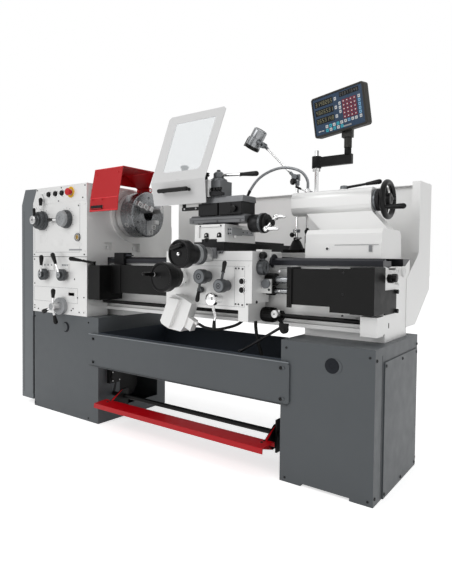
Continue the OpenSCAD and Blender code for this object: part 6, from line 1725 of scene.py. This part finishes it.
class LATHE_OT_coolant(bpy.types.Operator):
    """Makes the coolant pipe with its tap and jointed nozzle hose"""

    bl_idname = "lathe.coolant"
    bl_label = "Coolant pipe"

    def execute(self, context):
        c = PIVOTS["coolant_pipe"]
        x, y, low, top = c.x, c.y, 856.0, 1141.0
        shape = Shape()
        shape.turns((x, y, low), "z",
            ([(-14, 9), (0.3, 9), (0.3, 15), (1.4, 16), (18, 16), (20, 14.6), (20, 10), (74, 10), (76, 8.6),
                (84, 8.6), (89, 11), (95, 12), (101, 10.8), (105, 7.4), (111, 6)], "black_trim", 44),
            ([(109, 5.6), (256, 5.6), (256.4, 12), (258, 13), (279, 13), (281, 12), (281, 8.4), (284, 8)],
                "chrome", 40))
        shape.turn((x, y, low + 262), "z", [(0, 13.2), (1, 13.8, 1), (14, 13.8, 1), (15, 13.2)], "chrome",
            40, 18, 0.6)
        shape.turn((x - 2, y, top - 20), "x", [(0, 8), (1, 9), (22, 9), (24, 7.6), (24, 0)], "turned_grey", 6)
        shape.bar((x, y - 8, top - 14), (x - 30, y - 17, top + 1), 3.6, 3.4, "chrome", 18)
        shape.grip((x - 24, y - 15.2, top - 2), (x - 46, y - 21.6, top + 9), 4.6, 5.0)
        route = [(x, y, top), (x - 1, y - 2, top + 40), (x - 22, y - 12, top + 76),
            (x - 62, y - 28, top + 96), (x - 112, y - 48, top + 100), (x - 162, y - 68, top + 84),
            (x - 206, y - 84, top + 54), (x - 238, y - 98, top + 8), (244, 50, 1095)]
        line = [p - Vector((0, 0, 5)) for p in smooth_line(route, 26)]
        shape.tube(line[:-22], 5.7, "hose_grey", 18, 0.9)
        shape.bar(line[-24], line[-1], 7.4, 4.0, "black_grip", 28)
        shape.stand_in("coolant_hose", "coolant_pipe")
        return {"FINISHED"}


class LATHE_OT_tailstock_trim(bpy.types.Operator):
    """Makes the tailstock's wheel, lock lever, joints and bolts"""

    bl_idname = "lathe.tailstock_trim"
    bl_label = "Tailstock fittings"

    def execute(self, context):
        wide = context.scene.lathe_sizes.seam / MM
        c = PIVOTS["tailstock_handwheel"]
        x0, y, z = 852.3, c.y, c.z
        shape = Shape()
        shape.turns((0, y, z), "x",
            ([(605, 11), (x0, 11), (x0, 39), (x0 + 1, 42), (x0 + 9, 42), (x0 + 10, 40.4)], "turned_grey",
                64),
            ([(x0 + 9.6, 41, 1), (x0 + 10.4, 42, 1), (x0 + 23, 42, 1), (x0 + 24, 40, 1)], "slide_dark", 64,
                44, 0.8),
            ([(x0 + 24, 22), (x0 + 26, 24), (x0 + 58, 24), (x0 + 61, 21), (x0 + 61.6, 12), (x0 + 60, 9),
                (x0 + 60, 0)], "wheel_black", 48))
        rim = [(x0 + 48 + 10.6 * math.cos(a), 65 + 10.6 * math.sin(a))
            for a in (math.tau * k / 18 for k in range(18))]
        shape.ring((0, y, z), "x", rim, "wheel_black", 96)
        for a in (10, 130, 250):
            out = Vector((0, math.cos(math.radians(a)), math.sin(math.radians(a))))
            shape.bar(Vector((x0 + 46, y, z)) + out * 18, Vector((x0 + 48, y, z)) + out * 60, 10, 7,
                "wheel_black", 24)
        at = Vector((x0 + 50, y - 54, z - 34))
        shape.bar(at, at + Vector((22, 0, 0)), 6, 6, "wheel_black", 24)
        shape.grip(at + Vector((19, 0, 0)), at + Vector((73, 0, 0)), 8.4, 10.4)
        shape.stand_in("tailstock_wheel", "tailstock_handwheel")

        p = PIVOTS["quill_lever"]
        low = z + 52.3
        shape = Shape()
        shape.turn((p.x, p.y, low), "z", [(-8, 8), (0, 8), (0, 14.6), (1.4, 16), (11, 16), (14, 14), (14, 7),
            (15.6, 6), (15.6, 0)], "turned_grey", 40)
        shape.bar((p.x + 10, p.y, low + 7), (p.x + 96, p.y, low + 15), 5.4, 4.8, "slide_dark", 24)
        shape.grip((p.x + 90, p.y, low + 14.6), (p.x + 144, p.y, low + 19.4), 6.4, 9.6)
        shape.stand_in("lock_lever", "quill_lever")

        lo, hi = box_of("tailstock")
        shape = Shape()
        face = lo.y
        seam_lines(shape, face, wide, [(735, 882, hi.x - 10, 882)], "seam_grey")
        shape.turn((704, face, 868), "-y", head(5, 1, 3.6, 3), "seam_dark", 20)
        shape.block((870, face - 2, 856), (882, face + 1, 880), "seam_grey")
        shape.ring((510, y, z), "x", [(-1.4, 33), (-1.4, 39), (0.6, 41), (0.6, 33)], "turned_grey", 56)
        for k in range(25):
            shape.block((852 - 4.6, y - 1 + (k - 12) * 1.9, z + 47.8),
                (852 - 0.6, y - 0.4 + (k - 12) * 1.9, z + 48.4), "seam_dark")
        shape.piece("tailstock_fittings", "tailstock")
        return {"FINISHED"}


class LATHE_OT_right_end(bpy.types.Operator):
    """Adds the edge lines, which are painted highlights, and the screws, knobs and bosses at the screw covers
    and the bed's right end
    """

    bl_idname = "lathe.right_end"
    bl_label = "Screw covers and bed end"

    def execute(self, context):
        lo, hi = box_of("leadscrew_cover")
        y = lo.y
        shape = Shape()
        # Lighter lines along the covers' top and bottom edges: painted highlights
        for x0, x1 in ((598, 780), (782, 858), (-416, -196)):
            for z in (hi.z - 6, lo.z + 4):
                shape.block((x0 + 3, y - 0.3, z), (x1 - 3, y + 1, z + 1.2), "slide_dark")
        for z in (lo.z + 16, (lo.z + hi.z) / 2, hi.z - 16):
            shape.screw(600, z, y, 4.6, "ground_steel")
            shape.turn((849, y, z), "-y", head(3.6, 1.4, 2, 2), "slide_dark", 16)
        # Bed end: boss, knob, and the slot drawn as a dark strip of painted shade
        x = box_of("bed")[1].x
        shape.turn((x, 29, 784), "x", [(-1, 19), (1, 20), (7, 20), (9, 18), (9, 10), (7.6, 9), (7.6, 0)],
            "label_white", 44)
        shape.turn((x, -86, 763), "x", [(-1, 12), (1, 15, 1), (14, 16, 1), (17, 14, 1), (18, 10), (18, 0)],
            "black_grip", 48, 10, 1.6)
        shape.block((x - 0.5, -117, 588), (x + 0.5, -111, 606), "dark_hole")
        shape.piece("bed_end_fittings", "root")
        return {"FINISHED"}


class LATHE_OT_rear_trim(bpy.types.Operator):
    """Adds the trim of the end cover and the rear box, and the splash guard's bolts"""

    bl_idname = "lathe.rear_trim"
    bl_label = "Rear and end trim"

    def execute(self, context):
        wide = context.scene.lathe_sizes.seam / MM
        lo, hi = box_of("end_cover")
        shape = Shape()
        seam_lines(shape, lo.y, wide, [(lo.x + 22, lo.z + 30, lo.x + 22, hi.z - 120),
            (hi.x - 40, lo.z + 30, hi.x - 40, 500)], "seam_dark")
        for z in (lo.z + 60, (lo.z + hi.z) / 2, hi.z - 150):
            shape.turn((lo.x, lo.y + 26, z), "-x", socket(7, 0.3, 5.6, 0.7, 3, 0.1, 2.8), "seam_dark", 20)
            shape.block((lo.x - 0.4, hi.y - 40, z - 30), (lo.x + 1, hi.y - 37, z + 30), "seam_dark")
        # Louvres of the end cover, drawn as dark strips of painted shade
        for k in range(9):
            shape.block((lo.x - 0.5, -60, 420 + k * 22), (lo.x + 0.5, 120, 428 + k * 22), "dark_hole")
        shape.turn((lo.x, lo.y + 40, 700), "-x", head(16, 0.3, 14, 0.7), "turned_grey", 36)
        # Slot of the knob, a dark strip of painted shade
        shape.block((lo.x - 0.9, lo.y + 38, 688), (lo.x - 0.5, lo.y + 42, 712), "dark_hole")
        shape.piece("end_cover_trim", "end_cover")

        # Electrical box on the headstock's back
        lo, hi = Vector((-940, 220, 560)), Vector((-560, 430, 1150))
        shape = Shape()
        door = rounded(hi.x - lo.x - 24, hi.z - lo.z - 24, 8)
        mid = ((lo.x + hi.x) / 2, (lo.z + hi.z) / 2)
        shape.plate([(mid[0] + p, mid[1] + q) for p, q in door], "y", hi.y - 1, hi.y + 2.4, "white_paint")
        for dx, dz in ((-160, 270), (160, 270), (-160, -270), (160, -270), (160, 0)):
            shape.turn((mid[0] + dx, hi.y + 2.4, mid[1] + dz), "y", head(6, 1.4, 4.6, 2.6), "seam_dark", 20)
        shape.turn((mid[0] - 150, hi.y + 2.4, mid[1]), "y", head(14, 5, 12, 6), "black_grip", 32)
        # Vents, drawn as dark strips of painted shade
        for k in range(8):
            shape.block((mid[0] - 90, hi.y + 2, lo.z + 60 + k * 14),
                (mid[0] + 90, hi.y + 3.4, lo.z + 65 + k * 14), "dark_hole")
        for x in (-900, -850, -800):
            shape.turn((x, 330, lo.z), "-z", [(-1, 15), (3, 15), (4, 12, 1), (22, 12, 1), (24, 9), (24, 0)],
                "black_trim", 32, 12, 0.8)
        shape.piece("rear_box_door", "root", 0.4)

        # Bolts behind the splash guard
        shape = Shape()
        for x in (-420, -60, 300, 660):
            for z in (1130, 900, 740):
                shape.turn((x, 499.4, z), "y", head(7, 1.6, 5, 4), "seam_dark", 6)
        shape.piece("guard_bolts", "root")
        return {"FINISHED"}


# ---- The add-on ----

STEPS = (LATHE_OT_camera, LATHE_OT_cords, LATHE_OT_stage, LATHE_OT_base, LATHE_OT_bed, LATHE_OT_headstock,
    LATHE_OT_carriage, LATHE_OT_tailstock, LATHE_OT_front_trim, LATHE_OT_buttons, LATHE_OT_dials,
    LATHE_OT_gear_levers, LATHE_OT_chuck, LATHE_OT_readout, LATHE_OT_handwheels, LATHE_OT_apron_levers,
    LATHE_OT_half_nut, LATHE_OT_apron_trim, LATHE_OT_control_handle, LATHE_OT_tool_slide, LATHE_OT_crank,
    LATHE_OT_cross_slide_trim, LATHE_OT_shield, LATHE_OT_guard, LATHE_OT_base_trim, LATHE_OT_pedal,
    LATHE_OT_lamp, LATHE_OT_coolant, LATHE_OT_tailstock_trim, LATHE_OT_right_end, LATHE_OT_rear_trim)


class LATHE_PT_panel(bpy.types.Panel):
    """Lists the steps that dress the lathe"""

    bl_idname = "LATHE_PT_panel"
    bl_label = "Manual lathe"
    bl_space_type = "VIEW_3D"
    bl_region_type = "UI"
    bl_category = "Lathe"

    def draw(self, context):
        for group in (context.scene.lathe_colours, context.scene.lathe_sizes):
            box = self.layout.box()
            for name in group.__annotations__:
                box.prop(group, name)
        for step in STEPS:
            self.layout.operator(step.bl_idname)


CLASSES = (LatheColours, LatheSizes, *STEPS, LATHE_PT_panel)


def register():
    for cls in CLASSES:
        bpy.utils.register_class(cls)
    bpy.types.Scene.lathe_colours = PointerProperty(type=LatheColours)
    bpy.types.Scene.lathe_sizes = PointerProperty(type=LatheSizes)


def unregister():
    del bpy.types.Scene.lathe_sizes
    del bpy.types.Scene.lathe_colours
    for cls in reversed(CLASSES):
        bpy.utils.unregister_class(cls)


def main():
    register()
    pane_material()
    for step in STEPS:
        group, name = step.bl_idname.split(".")
        getattr(getattr(bpy.ops, group), name)()


if __name__ == "__main__":
    main()
